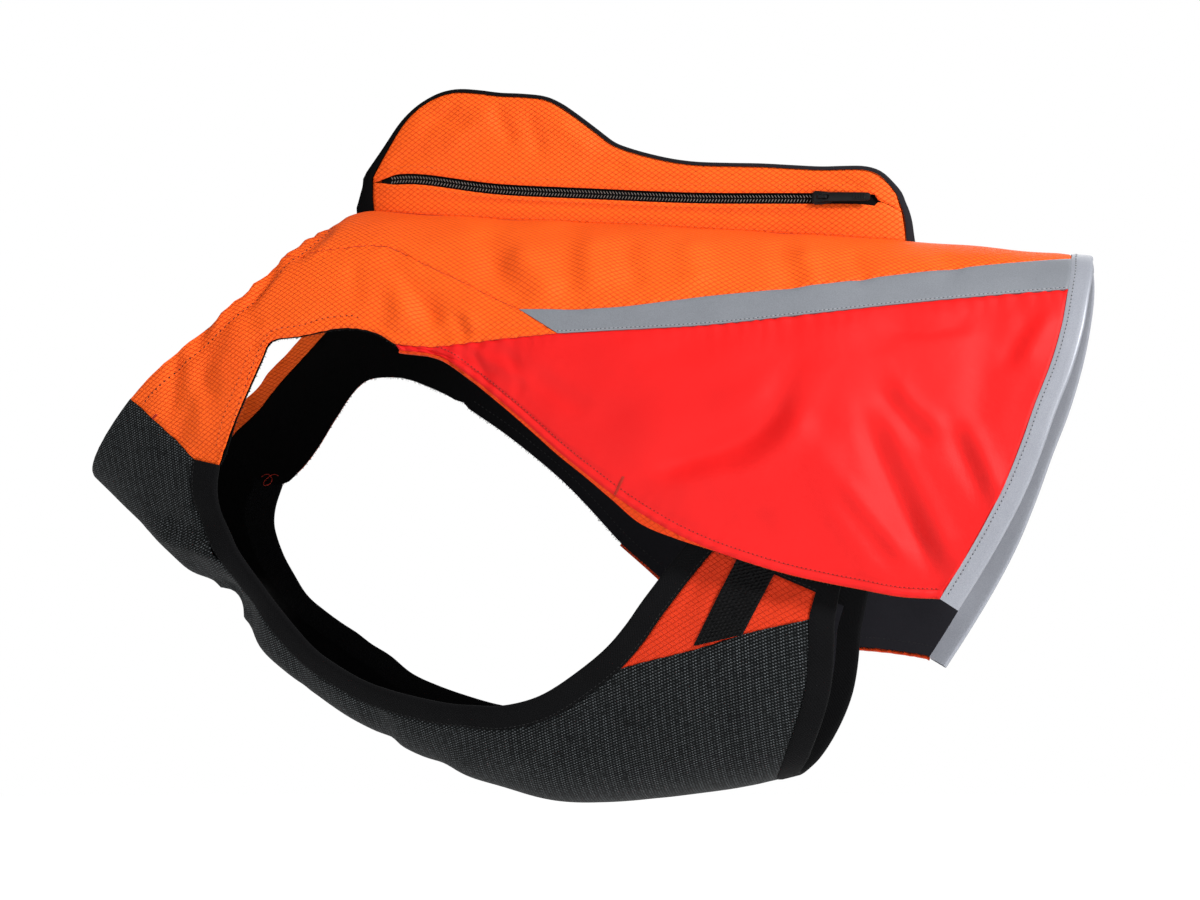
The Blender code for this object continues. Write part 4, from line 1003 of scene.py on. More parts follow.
# %% Outline and thickness of the pocket
POCKET_OUTLINE = [(-182, 45), (-162, 79), (-143, 95), (-123, 100), (-95, 96), (-65, 92),
                  (-46, 81), (-25, 64), (-13, 56), (14, 47), (40, 42), (80, 39),
                  (119, 35), (145, 34), (158, 29), (168, 17)]
POCKET_FRONT = [(-181, 19), (-182, 32), (-182, 45)]
POCKET_REAR = [(174, -14), (173, 2), (168, 17)]
ZIP_LINE = [(-182, 41), (-150, 41), (-95, 31.5), (-27, 25), (40, 19.3), (105, 16), (152, 13),
            (171, 5)]
POCKET_EDGE_HALF, POCKET_BELLY_HALF, POCKET_EASE = 3.0, 9.0, 14.0
GUSSET_HALF, GUSSET_PUFF, GUSSET_FRONT_PUFF = 3.6, 1.2, 10.0
GUSSET_REAR_PUFF, GUSSET_FADE = 2.5, 22.0
ZIP_GAP_HALF = 3.5
ZIP_STARTS, ZIP_ENDS = (-182, -162), (155, 157)
SEAM_GAP, POCKET_VALLEY = 0.4, 0.7
POCKET_STEPS = 2


def pocket_half(side_view):
    """Half thickness of the pocket at side-view points, thin along its outline."""
    outline = np.vstack([divided(POCKET_FRONT, 4), divided(POCKET_OUTLINE, 40)[1:],
                         divided(POCKET_REAR[::-1], 4)[1:]])
    swell = 1 - np.exp(-off_curve(side_view, outline)[1].min(-1) / POCKET_EASE)
    return POCKET_EDGE_HALF + (POCKET_BELLY_HALF - POCKET_EDGE_HALF) * swell


def ray_tree(*meshes):
    """A tree that rays can be cast on, for all the meshes together."""
    bm = bmesh.new()
    for mesh in meshes:
        bm.from_mesh(mesh)
    tree = BVHTree.FromBMesh(bm)
    bm.free()
    return tree


back = ray_tree(*(frame["nodes"][f"back_panel_{side}"].data for side in HANDS))


def back_top(x, y):
    """Height of the outside of the back at (x, y), in mm."""
    above = Vector((x * MM, y * MM, 0.2))
    return back.ray_cast(above, Vector((0, 0, -1)))[0].z / MM


def pocket_base(xs):
    """The walls' lower edge, pressed a little into the back."""
    zs = np.array([back_top(x, -POCKET_BELLY_HALF) for x in xs])
    half = pocket_half(np.stack([xs, zs], -1))
    zs = np.array([back_top(x, -y) for x, y in zip(xs, half - CLOTH)])
    return np.stack([xs, zs], -1)


# %% Creases of the pocket walls
POCKET_CREASES = [
    Crease(2.0, 5.0, [(-152, 90), (-132, 82), (-110, 74)]),
    Crease(-1.8, 6.0, [(-134, 58), (-114, 74), (-92, 86)]),
    Crease(2.2, 5.0, [(-101, 92), (-92, 76), (-84, 60)]),
    Crease(1.9, 5.0, [(-77, 86), (-70, 68), (-64, 50)]),
    Crease(-1.7, 6.0, [(-60, 80), (-44, 66), (-30, 52)]),
    Crease(1.6, 4.5, [(-170, 50), (-156, 57), (-140, 60)]),
    Crease(1.6, 4.0, [(-152, 68), (-134, 82), (-120, 94)]),
    Crease(1.4, 4.0, [(-40, 47), (-22, 46), (-4, 42)]),
    Crease(-1.2, 4.0, [(-20, 44), (20, 38), (60, 34)]),
    Crease(1.3, 4.0, [(118, 32), (134, 26), (152, 18)]),
    Crease(1.5, 2.2, [(-196, 32), (-95, 22), (20, 11), (160, 0)]),
]


# %% Pocket walls


def upright(xs, y, zs):
    """Points in metres from side-view places and a distance y from the middle, in mm."""
    return np.stack([xs, np.broadcast_to(y, xs.shape), zs], -1) * MM


def zip_gap(x):
    opening = smooth_step((x - ZIP_STARTS[0]) / (ZIP_STARTS[1] - ZIP_STARTS[0]))
    closing = smooth_step((ZIP_ENDS[1] - x) / (ZIP_ENDS[1] - ZIP_ENDS[0]))
    return 0.2 + ZIP_GAP_HALF * np.minimum(opening, closing)


def pocket_wall(node, patch, side, zip_border=None):
    """A pocket wall on one side: -1 is the left, +1 the right. One border may be the zip's."""
    fine = refined(patch, CLOTH_STEP, placed=lambda side_view: side_view * MM)
    borders = reach(fine * MM)
    if zip_border is not None:
        share = borders[zip_border] / (borders["first"] + borders["last"])
        up = 1 if zip_border == "first" else -1
        fine[..., 1] += up * zip_gap(fine[..., 0]) * (1 - share)
        borders = reach(fine * MM)
    near = np.minimum.reduce(list(borders.values()))
    half = pocket_half(fine)
    half = half - along_creases(fine, POCKET_CREASES) * smooth_step(near / 5)
    half = half + puckers(borders, ["last"], 0.3, 7.5) * smooth_step(near / 2)
    sunk = POCKET_VALLEY * (1 - smooth_step(near / VALLEY_WIDTH))
    layers = [upright(fine[..., 0], side * depth, fine[..., 1])
              for depth in (half - CLOTH, half - sunk)]
    piece = dress(grid_wall(f"{node}_cloth", *layers, fine * MM), node)


outline_rows = len(POCKET_OUTLINE) - 1
top = smooth_rows(POCKET_OUTLINE, np.linspace(0, outline_rows, outline_rows * POCKET_STEPS + 1))
share = (top[:, 0] - top[0, 0]) / (top[-1, 0] - top[0, 0])
base = pocket_base(POCKET_FRONT[0][0] + (POCKET_REAR[0][0] - POCKET_FRONT[0][0]) * share)
front = eased(divided(POCKET_FRONT, 5), base[0], top[0])
rear = eased(divided(POCKET_REAR, 5), base[-1], top[-1])
pocket_wall("pocket_wall_right", between(base, top, front, rear), +1)
zip_curve = divided(ZIP_LINE, 200)
zip_x = ZIP_LINE[0][0] + (ZIP_LINE[-1][0] - ZIP_LINE[0][0]) * share
zip_z = np.interp(zip_x, zip_curve[:, 0], zip_curve[:, 1])
zip_seam = np.stack([zip_x, zip_z], -1)
below_front = eased(divided(POCKET_FRONT, 3), base[0], zip_seam[0])
pocket_wall("pocket_wall_left_lower", between(base, zip_seam, below_front,
                                              straight(base[-1], zip_seam[-1], 3)), -1, "last")
pocket_wall("pocket_wall_left_upper", between(zip_seam, top, straight(zip_seam[0], top[0], 4),
                                              straight(zip_seam[-1], top[-1], 4)), -1, "first")

# %% The black strip round the pocket


def pocket_gusset():
    """The strip that joins the two walls round the outline, rounded out."""
    path = np.vstack([front, top[1:], rear[-2::-1]])
    path = read_at(path, stations(np.c_[path * MM, 0 * path[:, :1]], 3.0))
    tangent = np.gradient(path, axis=0)
    tangent /= np.linalg.norm(tangent, axis=1, keepdims=True)
    out = np.stack([-tangent[:, 1], tangent[:, 0]], -1)
    far_front = np.linalg.norm(path - path[0], axis=1)
    far_rear = np.linalg.norm(path - path[-1], axis=1)
    puff = (GUSSET_PUFF + GUSSET_REAR_PUFF * np.exp(-far_rear / GUSSET_FADE)
            + GUSSET_FRONT_PUFF * np.minimum(1.3 * np.exp(-far_front / GUSSET_FADE), 1))
    across = np.linspace(-1, 1, 11)
    layers = []
    for depth in (SEAM_GAP - 0.5, SEAM_GAP + CLOTH):
        offset = depth + puff[:, None] * (1 - across[None] ** 2)
        points = path[:, None] + out[:, None] * offset[..., None]
        layers.append(upright(points[..., 0], across * GUSSET_HALF, points[..., 1]))
    piece = grid_wall("pocket_gusset_cloth", *layers, along_and_across(layers[1]))
    dress(piece, "pocket_gusset")


pocket_gusset()

# %% [markdown]
# ## The zip
# A coil zip is a woven tape with a nylon coil on each edge. Real coil teeth are one bent
# wire; here each turn is a stretched icosphere of 20 faces, leaned so that the two rows
# make the herringbone that shows when the zip is closed. The slider and its pull are
# outlines that are extruded and bevelled, because cast parts have soft edges.

# %% Places along the zip
ZIP_TAPE_HALF, ZIP_TAPE = 7.5, 1.0
TAPE_DEPTH = CLOTH + 1.0
TOOTH_PITCH, TOOTH_LENGTH, TOOTH_THICK = 2.05, 2.3, 0.55
SLIDER_X, SLIDER_LENGTH, SLIDER_HALF_WIDTH, SLIDER_HEIGHT = 121.0, 13.0, 4.6, 2.4
TOOTH_LEAN, TOOTH_ROW, TOOTH_PROUD = 0.7, 1.45, 0.45
TEETH_FROM, TEETH_TO = -168.0, 117.0
TAPE_FROM, TAPE_TO, TAPE_POINTS = -176, 166, (90, 7)


def zip_height(x):
    return np.interp(x, zip_curve[:, 0], zip_curve[:, 1])


# %% The tape, with its outer face inside the wall's outer face
xs = np.broadcast_to(np.linspace(TAPE_FROM, TAPE_TO, TAPE_POINTS[0])[:, None], TAPE_POINTS)
zs = zip_height(xs) + ZIP_TAPE_HALF * np.linspace(-1, 1, TAPE_POINTS[1])
patch = np.stack([xs, zs], -1)
depth = pocket_half(patch) - TAPE_DEPTH
layers = [upright(xs, -y, zs) for y in (depth - ZIP_TAPE, depth)]
tape = dress(grid_wall("zip_tape_cloth", *layers, patch * MM), "zip_tape")

# %% [markdown]
# Stitches, teeth and bar tacks are all short threads. One function lays a thread of 20
# faces between two points; a whole row of them is one mesh.

# %% A thread between two points


def add_thread(bm, start, end, thick, flat=1.0, out=None):
    """A stretched icosphere from start to end, in metres; flat squeezes it towards out."""
    start, end = Vector(start), Vector(end)
    along = end - start
    out = Vector(out) if out is not None else along.orthogonal()
    across = along.cross(out).normalized()
    out = across.cross(along).normalized()
    frame_of = Matrix((along.normalized(), across, out)).transposed().to_4x4()
    size = Matrix.Diagonal((along.length / 2, thick / 2, thick * flat / 2, 1.0))
    place = Matrix.Translation((start + end) / 2) @ frame_of @ size
    bmesh.ops.create_icosphere(bm, subdivisions=1, radius=1.0, matrix=place)


def thread_piece(name, bm, slot):
    """A mesh of threads becomes a piece that rides with the vest."""
    bmesh.ops.recalc_face_normals(bm, faces=bm.faces)
    piece = smooth_piece(name, as_mesh(name, bm), 180)
    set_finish(piece, slot)
    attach(piece, "vest")
    return piece


# %% The two rows of teeth
bm = bmesh.new()
for x in np.arange(TEETH_FROM, TEETH_TO, TOOTH_PITCH):
    for row in (-1, 1):
        z = zip_height(x) + row * TOOTH_ROW
        y = -(float(pocket_half(np.array([x, z]))) - TAPE_DEPTH + TOOTH_PROUD)
        inner = (x + TOOTH_LEAN, y, z - row * TOOTH_LENGTH / 2)
        outer = (x - TOOTH_LEAN, y, z + row * TOOTH_LENGTH / 2)
        add_thread(bm, np.array(inner) * MM, np.array(outer) * MM, TOOTH_THICK * MM)
teeth = thread_piece("zip_teeth", bm, slots["zip_chain"])
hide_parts("zip_chain")
print("teeth faces", len(teeth.data.polygons))

# %% Slider and pull


def slider_frame():
    """Matrix from (along, across, out) of the slider, in mm, to the world in metres."""
    z = float(zip_height(SLIDER_X))
    along = Vector((10.0, 0.0, float(zip_height(SLIDER_X + 10)) - z)).normalized()
    out = Vector((0.0, -1.0, 0.0))
    across = along.cross(out)
    origin = Vector((SLIDER_X, -float(pocket_half(np.array([SLIDER_X, z]))) - 0.6, z))
    turn = Matrix((along, across, out)).transposed().to_4x4()
    return Matrix.Translation(origin * MM) @ turn @ Matrix.Diagonal((MM, MM, MM, 1.0))


ZIP_FRAME = slider_frame()


def add_plate(bm, outline, low, high, bevel, segments=2):
    """An outline in (along, across) raised from low to high mm, with bevelled edges."""
    verts = [bm.verts.new((x, y, low)) for x, y in outline]
    plate = {*verts, *raised(bm, [bm.faces.new(verts)], high - low)}
    edges = [e for e in bm.edges if e.verts[0] in plate and e.verts[1] in plate]
    bmesh.ops.recalc_face_normals(bm, faces=bm.faces)
    bmesh.ops.bevel(bm, geom=edges, offset=bevel, offset_type="OFFSET", segments=segments,
                    profile=0.5, affect="EDGES", material=-1, clamp_overlap=True)


def cast_piece(name, bm, node, body):
    bmesh.ops.transform(bm, matrix=ZIP_FRAME, verts=bm.verts)
    bmesh.ops.recalc_face_normals(bm, faces=bm.faces)
    dress(smooth_piece(name, as_mesh(name, bm), 35), node, body)


def two_sided(edge_points, half):
    """An outline from (along, share of the half width) points and their mirror image."""
    return ([(x, share * half) for x, share in edge_points]
            + [(x, -share * half) for x, share in edge_points[::-1]])


reach_x = SLIDER_LENGTH / 2
outline = two_sided([(-reach_x, 0.72), (-0.36 * SLIDER_LENGTH, 1.0), (0.1 * SLIDER_LENGTH, 0.9),
                     (reach_x - 1.0, 0.72), (reach_x, 0.5)], SLIDER_HALF_WIDTH)
bm = bmesh.new()
add_plate(bm, outline, 0.0, 0.9, 0.25)
add_plate(bm, [(x * 0.9, y * 0.8) for x, y in outline], 0.8, SLIDER_HEIGHT, 0.5, 3)
cast_piece("zip_slider_body", bm, "zip_slider", "vest")

PULL_SLOT, PULL_HALF, PULL_INNER, PULL_LENGTH = 4.3, 3.0, 1.3, 31.0
PULL_LOW, PULL_HIGH = SLIDER_HEIGHT + 0.4, SLIDER_HEIGHT + 1.6
bm = bmesh.new()
add_plate(bm, [(0.6, -PULL_HALF), (-0.6, -PULL_HALF * 0.86), (-0.6, PULL_HALF * 0.86),
               (0.6, PULL_HALF)], PULL_LOW, PULL_HIGH, 0.25)
for side in (-1, 1):
    low, high = sorted((side * PULL_INNER, side * PULL_HALF))
    add_plate(bm, [(0.3, low), (0.3, high), (PULL_SLOT + 0.4, high), (PULL_SLOT + 0.4, low)],
              PULL_LOW, PULL_HIGH, 0.25)
tab = [(PULL_SLOT, 1.0), (PULL_LENGTH - 4, 0.92), (PULL_LENGTH - 1.2, 0.84), (PULL_LENGTH, 0.6)]
add_plate(bm, two_sided(tab, PULL_HALF), PULL_LOW, PULL_HIGH, 0.3)
for x in np.arange(PULL_LENGTH - 11, PULL_LENGTH - 3, 1.7):
    add_plate(bm, [(x, -1.9), (x, 1.9), (x + 0.7, 1.9), (x + 0.7, -1.9)],
              PULL_HIGH - 0.1, PULL_HIGH + 0.25, 0.1, 1)
cast_piece("zip_pull_tab", bm, "zip_pull", "zip_pull")

# %% [markdown]
# ## Stitching
# Every seam of the vest is topstitched. Lockstitch shows as short threads with a needle
# hole between them; the shade in each hole is painted as a small dark mark, and on this
# cloth it shows more than the thread. Both are laid along a line and dropped onto the
# finished cloth with rays, so they follow its folds and puckers.

# %% Lines dropped onto the cloth
RAY_FROM, LONGEST_STITCH = 0.03, 0.009
cloths = {name: ray_tree(piece.data) for name, piece in pieces.items() if name.endswith("cloth")}


def dropped_onto(names, points, normals):
    """Where rays against the normals meet the named pieces first, with the face's normal."""
    hits = []
    for point, normal in zip(points, normals):
        start = Vector(point + normal * RAY_FROM)
        best = None
        for name in names:
            place, face_normal, _, distance = cloths[name].ray_cast(start, Vector(-normal))
            if place is not None and (best is None or distance < best[2]):
                best = (np.array(place), np.array(face_normal), distance)
        hits.append(best)
    return hits


def on_line(line, pitch):
    """Points of the form and their normals, one every pitch mm along a pattern line."""
    at = stations(form_point(line), pitch)
    fine = read_at(line, at)
    return form_point(fine), form_normal(fine)


Thread = namedtuple("Thread", "slot color")
THREADS = {
    "orange_threads": Thread("orange_ripstop", (1.0, 0.17, 0.02, 1.0)),
    "red_threads": Thread("red_satin", (0.75, 0.02, 0.02, 1.0)),
    "grey_threads": Thread("reflective_tape", (0.42, 0.43, 0.46, 1.0)),
    "black_threads": Thread("black_binding", (0.006, 0.006, 0.007, 1.0)),
    # The needle holes, neck holes and tape holes are painted shade: dark marks where the holes lie
    # in shade.
    "needle_holes": Thread("orange_ripstop", (0.13, 0.008, 0.003, 1.0)),
    "neck_holes": Thread("orange_ripstop", (0.05, 0.004, 0.002, 1.0)),
    "dark_needle_holes": Thread("black_lining", (0.02, 0.02, 0.022, 1.0)),
    # Seam threads: a dark line along the seam valleys is painted shade; the bar tacks and the
    # loose thread are real dark thread.
    "seam_threads": Thread("red_satin", (0.50, 0.025, 0.010, 1.0)),
    "lining_fibres": Thread("black_lining", (0.004, 0.004, 0.004, 1.0)),
}
rows = {name: bmesh.new() for name in THREADS}


def stitched(threads, shade_marks, names, line, share=0.62, thick=0.55, hole=1.0):
    """A row of stitches: a thread in each step and, where shade marks are named, a dark mark at
    its start: painted shade of the needle hole.
    """
    hits = dropped_onto(names, *line)
    for first, second in zip(hits, hits[1:]):
        if first is None or second is None:
            continue
        start, end = first[0], second[0]
        if np.linalg.norm(end - start) > LONGEST_STITCH:
            continue
        middle, half_run = (start + end) / 2, (end - start) / 2 * share
        lift = first[1] * 0.12 * MM
        add_thread(rows[threads], middle - half_run + lift, middle + half_run + lift,
                   thick * MM, 0.7, first[1])
        if shade_marks is not None:
            run = (end - start) / np.linalg.norm(end - start) * hole * 0.55 * MM
            add_thread(rows[shade_marks], start - run, start + run, hole * MM, 0.45, first[1])


# %% Seams and topstitching of both sides
STITCH, HEM_STITCH, BINDING_STITCH, SEAM_SHADE_STEP = 3.9, 2.7, 3.2, 2.2
# how far the rows lie from their edges
ARCH_HEM, NECK_HEM, FLAP_HEM, LINING_HEM, TAPE_HEM, STRIPE_HEM, BINDING_HEM = (
    7, 9, 5.5, 6.5, 2.6, 1.3, 1.6)
ARCH_LINE = [(-258, -141), (-248, -117), (-237, -90), (-232, -79), (-224, -70), (-206, -68),
             (-189, -64), (-172, -63), (-164, -66)]
ARCH_SECOND_LINE = [(-266, -141), (-259, -123), (-248, -101), (-239, -79)]
for side, hand in HANDS.items():
    cut = cuts[side]
    shoulder = [f"shoulder_panel_{side}_cloth", f"back_panel_{side}_cloth"]
    flap = [f"side_panel_{side}_cloth"]

    def inside(curve, distance, pitch):
        """Stitch places on the cloth side of an edge."""
        return on_line(moved_in(curve, -distance * hand[1]), pitch)

    arch_places = (on_line(on_form(ARCH_LINE) * hand, STITCH) if side == "left" else
                   inside(cut["arch"], ARCH_HEM, STITCH))
    stitched("orange_threads", "needle_holes", shoulder, arch_places, hole=1.1)
    stitched("orange_threads", "needle_holes", shoulder,
             on_line(on_form(ARCH_SECOND_LINE) * hand, STITCH), hole=0.9)
    stitched("orange_threads", "neck_holes", shoulder,
             inside(cut["neck_turn"][:, 0], NECK_HEM, STITCH), hole=1.35)
    stitched("red_threads", "needle_holes", flap, inside(cut["side"][:, -1], FLAP_HEM, HEM_STITCH))
    stitched("grey_threads", "dark_needle_holes", [f"reflective_stripe_{side}_cloth"],
             inside(cut["stripe"][:, -1], STRIPE_HEM, HEM_STITCH), hole=0.7)
    stitched("grey_threads", "dark_needle_holes", [f"hem_tape_{side}_cloth"],
             inside(cut["hem_tape"][:, 0], TAPE_HEM, HEM_STITCH), hole=0.9)
    for name in ("leg_binding", "wing_binding"):
        stitched("black_threads", None, [f"{name}_{side}_cloth"],
                 inside(cut[name][:, 0], BINDING_HEM, BINDING_STITCH))
    # a continuous dark line at the bottom of each seam valley: painted shade
    for seam, names in ((cut["back"][:FRONT_COLUMNS + 1, -1], shoulder),
                        (cut["side"][:RED_COLUMNS + 1, 0], shoulder + flap)):
        stitched("seam_threads", None, names, on_line(seam, SEAM_SHADE_STEP), 1.12, 0.5)

    points, normals = inside(cut["side"][:, -1], LINING_HEM, BINDING_STITCH)
    stitched("black_threads", None, [f"lining_{side}_cloth"], (points, -normals), thick=0.9)

# %% A loose thread inside the right side
LOOSE_THREAD = [(-279, -150), (-275, -148), (-272, -151), (-273, -155), (-277, -156), (-276, -152),
                (-271, -148), (-268, -149)]
LOOSE_DEPTH, LOOSE_THICK, LOOSE_PARTS, LOOSE_OVERLAP = 4.5, 0.6, 24, 0.3
pattern = on_form(divided(LOOSE_THREAD, LOOSE_PARTS)) * HANDS["right"]
points = form_point(pattern) - form_normal(pattern) * LOOSE_DEPTH * MM
for start, end in zip(points, points[1:]):
    add_thread(rows["seam_threads"], start, end + (end - start) * LOOSE_OVERLAP, LOOSE_THICK * MM)

# %% Stitching of the pocket
POCKET_STITCH, ZIP_STITCH = 3.0, 3.2
BASE_ROW_UP, BASE_SEAM_UP, ZIP_ROWS_UP = 2.2, 0.7, (8.6, -6.4)
BESIDE_POCKET = 12.0


def across_pocket(line, up, pitch, side):
    """Points every pitch mm above a side-view line, facing out of the pocket wall."""
    line = line + [0, up]
    fine = read_at(line, stations(line * MM, pitch))
    points = upright(fine[:, 0], side * BESIDE_POCKET, fine[:, 1])
    return points, np.broadcast_to([0.0, side, 0.0], points.shape)


left_walls = ["pocket_wall_left_upper_cloth", "pocket_wall_left_lower_cloth"]
xs = np.linspace(-172, 158, 60)
zip_row = np.stack([xs, zip_height(xs)], -1)
base_row = base[1:-1]
for names, side in ((left_walls, -1), (["pocket_wall_right_cloth"], 1)):
    stitched("orange_threads", "needle_holes", names,
             across_pocket(base_row, BASE_ROW_UP, POCKET_STITCH, side), hole=0.35)
    # a continuous dark line along the pocket's lower seam: painted shade
    stitched("seam_threads", None, names,
             across_pocket(base_row, BASE_SEAM_UP, SEAM_SHADE_STEP, side), 1.12, 0.6)
for up in ZIP_ROWS_UP:
    stitched("orange_threads", "needle_holes", left_walls,
             across_pocket(zip_row, up, ZIP_STITCH, -1), hole=0.3)

# %% [markdown]
# The lining is cut with a hot knife and frays: short black fibres stand out of its edge
# round the leg hole. They are spread with a seeded generator, so every run is the same.

# %% Frayed edge of the lining
FRAY_STEP = 1.1
chance = np.random.default_rng(7)
for side, hand in HANDS.items():
    for line in (cuts[side]["side"][:, -1], cuts[side]["arch"]):
        points, normals = on_line(line, FRAY_STEP)
        depth = lining_relief(read_at(line, stations(form_point(line), FRAY_STEP)))
        along = np.gradient(points, axis=0)
        along /= np.linalg.norm(along, axis=1, keepdims=True)
        out = np.cross(along, normals) * hand[1]
        for k in range(len(points)):
            length = chance.uniform(0.4, 2.0) * MM
            root = points[k] + normals[k] * (depth[k] - chance.uniform(0.5, 1.3)) * MM
            aside, up = chance.uniform(-1.2, 1.2), chance.uniform(-0.4, 0.4)
            way = out[k] + along[k] * aside + normals[k] * up
            way /= np.linalg.norm(way)
            add_thread(rows["lining_fibres"], root - way * 0.8 * MM, root + way * length,
                       chance.uniform(0.25, 0.5) * MM)

# %% [markdown]
# A bar tack is a dense zigzag that keeps a seam end from tearing. It is a short run of
# threads laid side by side across a line.

# %% Bar tacks
TACK_PITCH, TACK_THICK, TACK_SLANT = 0.55, 0.6, 0.6
RIGHT_TACK_LOWER = 43


def bar_tack(bm, cloth, ends, hand, width):
    """Threads side by side between two side-view points in mm."""
    places = on_line(on_form(ends) * hand, TACK_PITCH)
    hits = [hit for hit in dropped_onto([cloth], *places) if hit is not None]
    for (place, normal, _), (after, _, _) in zip(hits, hits[1:]):
        across = np.cross(after - place, normal)
        across *= width / 2 * MM / np.linalg.norm(across)
        lift = normal * 0.15 * MM
        slant = (after - place) * TACK_SLANT
        add_thread(bm, place - across + lift - slant, place + across + lift + slant,
                   TACK_THICK * MM, 0.8, normal)


for side, hand in HANDS.items():
    lower = 0 if side == "left" else RIGHT_TACK_LOWER
    for threads, cloth, ends, width in (
            ("seam_threads", "side_panel", [(4, -183 - lower), (9, -172 - lower)], 2.4),
            ("seam_threads", "shoulder_panel", [(-316, -124), (-309, -119)], 1.8),
            ("orange_threads", "side_panel", [(-136, -88), (-128, -92)], 1.8)):
        bar_tack(rows[threads], f"{cloth}_{side}_cloth", ends, hand, width)

for name, bm in rows.items():
    piece = thread_piece(name, bm, THREADS[name].slot)
    print(name, len(piece.data.polygons), "faces")

# %% [markdown]
# ## Materials
# Each finish is made of nodes, so it has detail at any distance and no image to carry.
# Patterns that follow the cloth read its UV map, which is the cut in metres; slow changes
# of colour read Object coordinates. Patterns that several finishes share are node groups
# that put out a height or a mask. The shader stays in each material.

# %% Small helpers for node trees


def join(tree, value, socket):
    """Link a socket, or set a plain value."""
    if isinstance(value, bpy.types.NodeSocket):
        tree.links.new(value, socket)
    else:
        socket.default_value = value


def calc(tree, operation, *values):
    """One Math node."""
    made = tree.nodes.new("ShaderNodeMath")
    made.operation = operation
    for value, socket in zip(values, made.inputs):
        join(tree, value, socket)
    return made.outputs[0]


def ramp(tree, value, low, high, to_low=0.0, to_high=1.0):
    """A smooth step from low to high."""
    made = tree.nodes.new("ShaderNodeMapRange")
    made.interpolation_type = "SMOOTHSTEP"
    for number, socket in zip((value, low, high, to_low, to_high), made.inputs):
        join(tree, number, socket)
    return made.outputs[0]


def times(tree, first, second):
    return calc(tree, "MULTIPLY", first, second)


def plus(tree, first, second):
    return calc(tree, "ADD", first, second)


def noise(tree, vector, scale, detail=2.0):
    made = tree.nodes.new("ShaderNodeTexNoise")
    join(tree, vector, made.inputs["Vector"])
    made.inputs["Scale"].default_value = scale
    made.inputs["Detail"].default_value = detail
    return made.outputs["Fac"]


def blend_colors(tree, share, first, second):
    made = tree.nodes.new("ShaderNodeMix")
    made.data_type = "RGBA"
    for value, socket in zip((share, first, second), (made.inputs[k] for k in (0, 6, 7))):
        join(tree, value, socket)
    return made.outputs[2]


def node_group(name, inputs, outputs):
    """An empty group with named float inputs, a Map vector, and named float outputs."""
    tree = bpy.data.node_groups.new(name, "ShaderNodeTree")
    tree.interface.new_socket("Map", in_out="INPUT", socket_type="NodeSocketVector")
    for socket, value in inputs.items():
        made = tree.interface.new_socket(socket, in_out="INPUT", socket_type="NodeSocketFloat")
        made.default_value = value
    for socket in outputs:
        tree.interface.new_socket(socket, in_out="OUTPUT", socket_type="NodeSocketFloat")
    start = tree.nodes.new("NodeGroupInput")
    end = tree.nodes.new("NodeGroupOutput")
    split = tree.nodes.new("ShaderNodeSeparateXYZ")
    tree.links.new(start.outputs["Map"], split.inputs[0])
    return tree, start.outputs, end.inputs, split.outputs["X"], split.outputs["Y"]


def use_group(tree, group, vector, **values):
    made = tree.nodes.new("ShaderNodeGroup")
    made.node_tree = group
    join(tree, vector, made.inputs["Map"])
    for socket, value in values.items():
        join(tree, value, made.inputs[socket])
    return made.outputs


def ridge(tree, value):
    """0 on the whole numbers, 1 half way between them."""
    saw = times(tree, calc(tree, "FRACT", value), 2.0)
    return calc(tree, "ABSOLUTE", calc(tree, "SUBTRACT", saw, 1.0))


# %% Plain weave: threads over and under each other
plain_weave, given, out, u, v = node_group("plain weave", {"Pitch": 0.0005}, ["Height"])
warp, weft = (calc(plain_weave, "SINE", times(plain_weave, calc(
    plain_weave, "DIVIDE", way, given["Pitch"]), math.pi)) for way in (u, v))
height = plus(plain_weave, times(plain_weave, times(plain_weave, warp, weft), 0.5), 0.5)
plain_weave.links.new(height, out["Height"])

# %% Ripstop: a lattice of thicker threads, here leaned into diamonds
ripstop, given, out, u, v = node_group("ripstop", {"Width": 0.0048, "Rise": 0.0034,
                                                   "Line": 0.24}, ["Line"])
across = calc(ripstop, "DIVIDE", u, given["Width"])
up = calc(ripstop, "DIVIDE", v, given["Rise"])
masks = []
for combined in (plus(ripstop, across, up), calc(ripstop, "SUBTRACT", across, up)):
    away = calc(ripstop, "SUBTRACT", 1.0, ridge(ripstop, combined))
    masks.append(ramp(ripstop, away, 0.0, given["Line"], 1.0, 0.0))
ripstop.links.new(calc(ripstop, "MAXIMUM", *masks), out["Line"])

# %% Rib knit: slanted stitches in columns, every third column lighter
rib_knit, given, out, u, v = node_group("rib knit", {"Wale": 0.00177, "Course": 0.0019},
                                        ["Stitch", "Light"])
column = calc(rib_knit, "DIVIDE", u, given["Wale"])
number = calc(rib_knit, "FLOOR", column)
slant = times(rib_knit, calc(rib_knit, "FRACT", column), 0.75)
climb = plus(rib_knit, calc(rib_knit, "DIVIDE", v, given["Course"]),
             plus(rib_knit, slant, times(rib_knit, number, 0.5)))
dash = ramp(rib_knit, ridge(rib_knit, climb), 0.56, 0.84)
stitch = times(rib_knit, dash, ramp(rib_knit, ridge(rib_knit, column), 0.18, 0.56))
third = calc(rib_knit, "FRACT", calc(rib_knit, "DIVIDE", plus(rib_knit, number, 0.5), 3.0))
rib_knit.links.new(stitch, out["Stitch"])
rib_knit.links.new(ramp(rib_knit, third, 0.4, 0.36), out["Light"])


# %% A finish with its shader, its maps and a bump


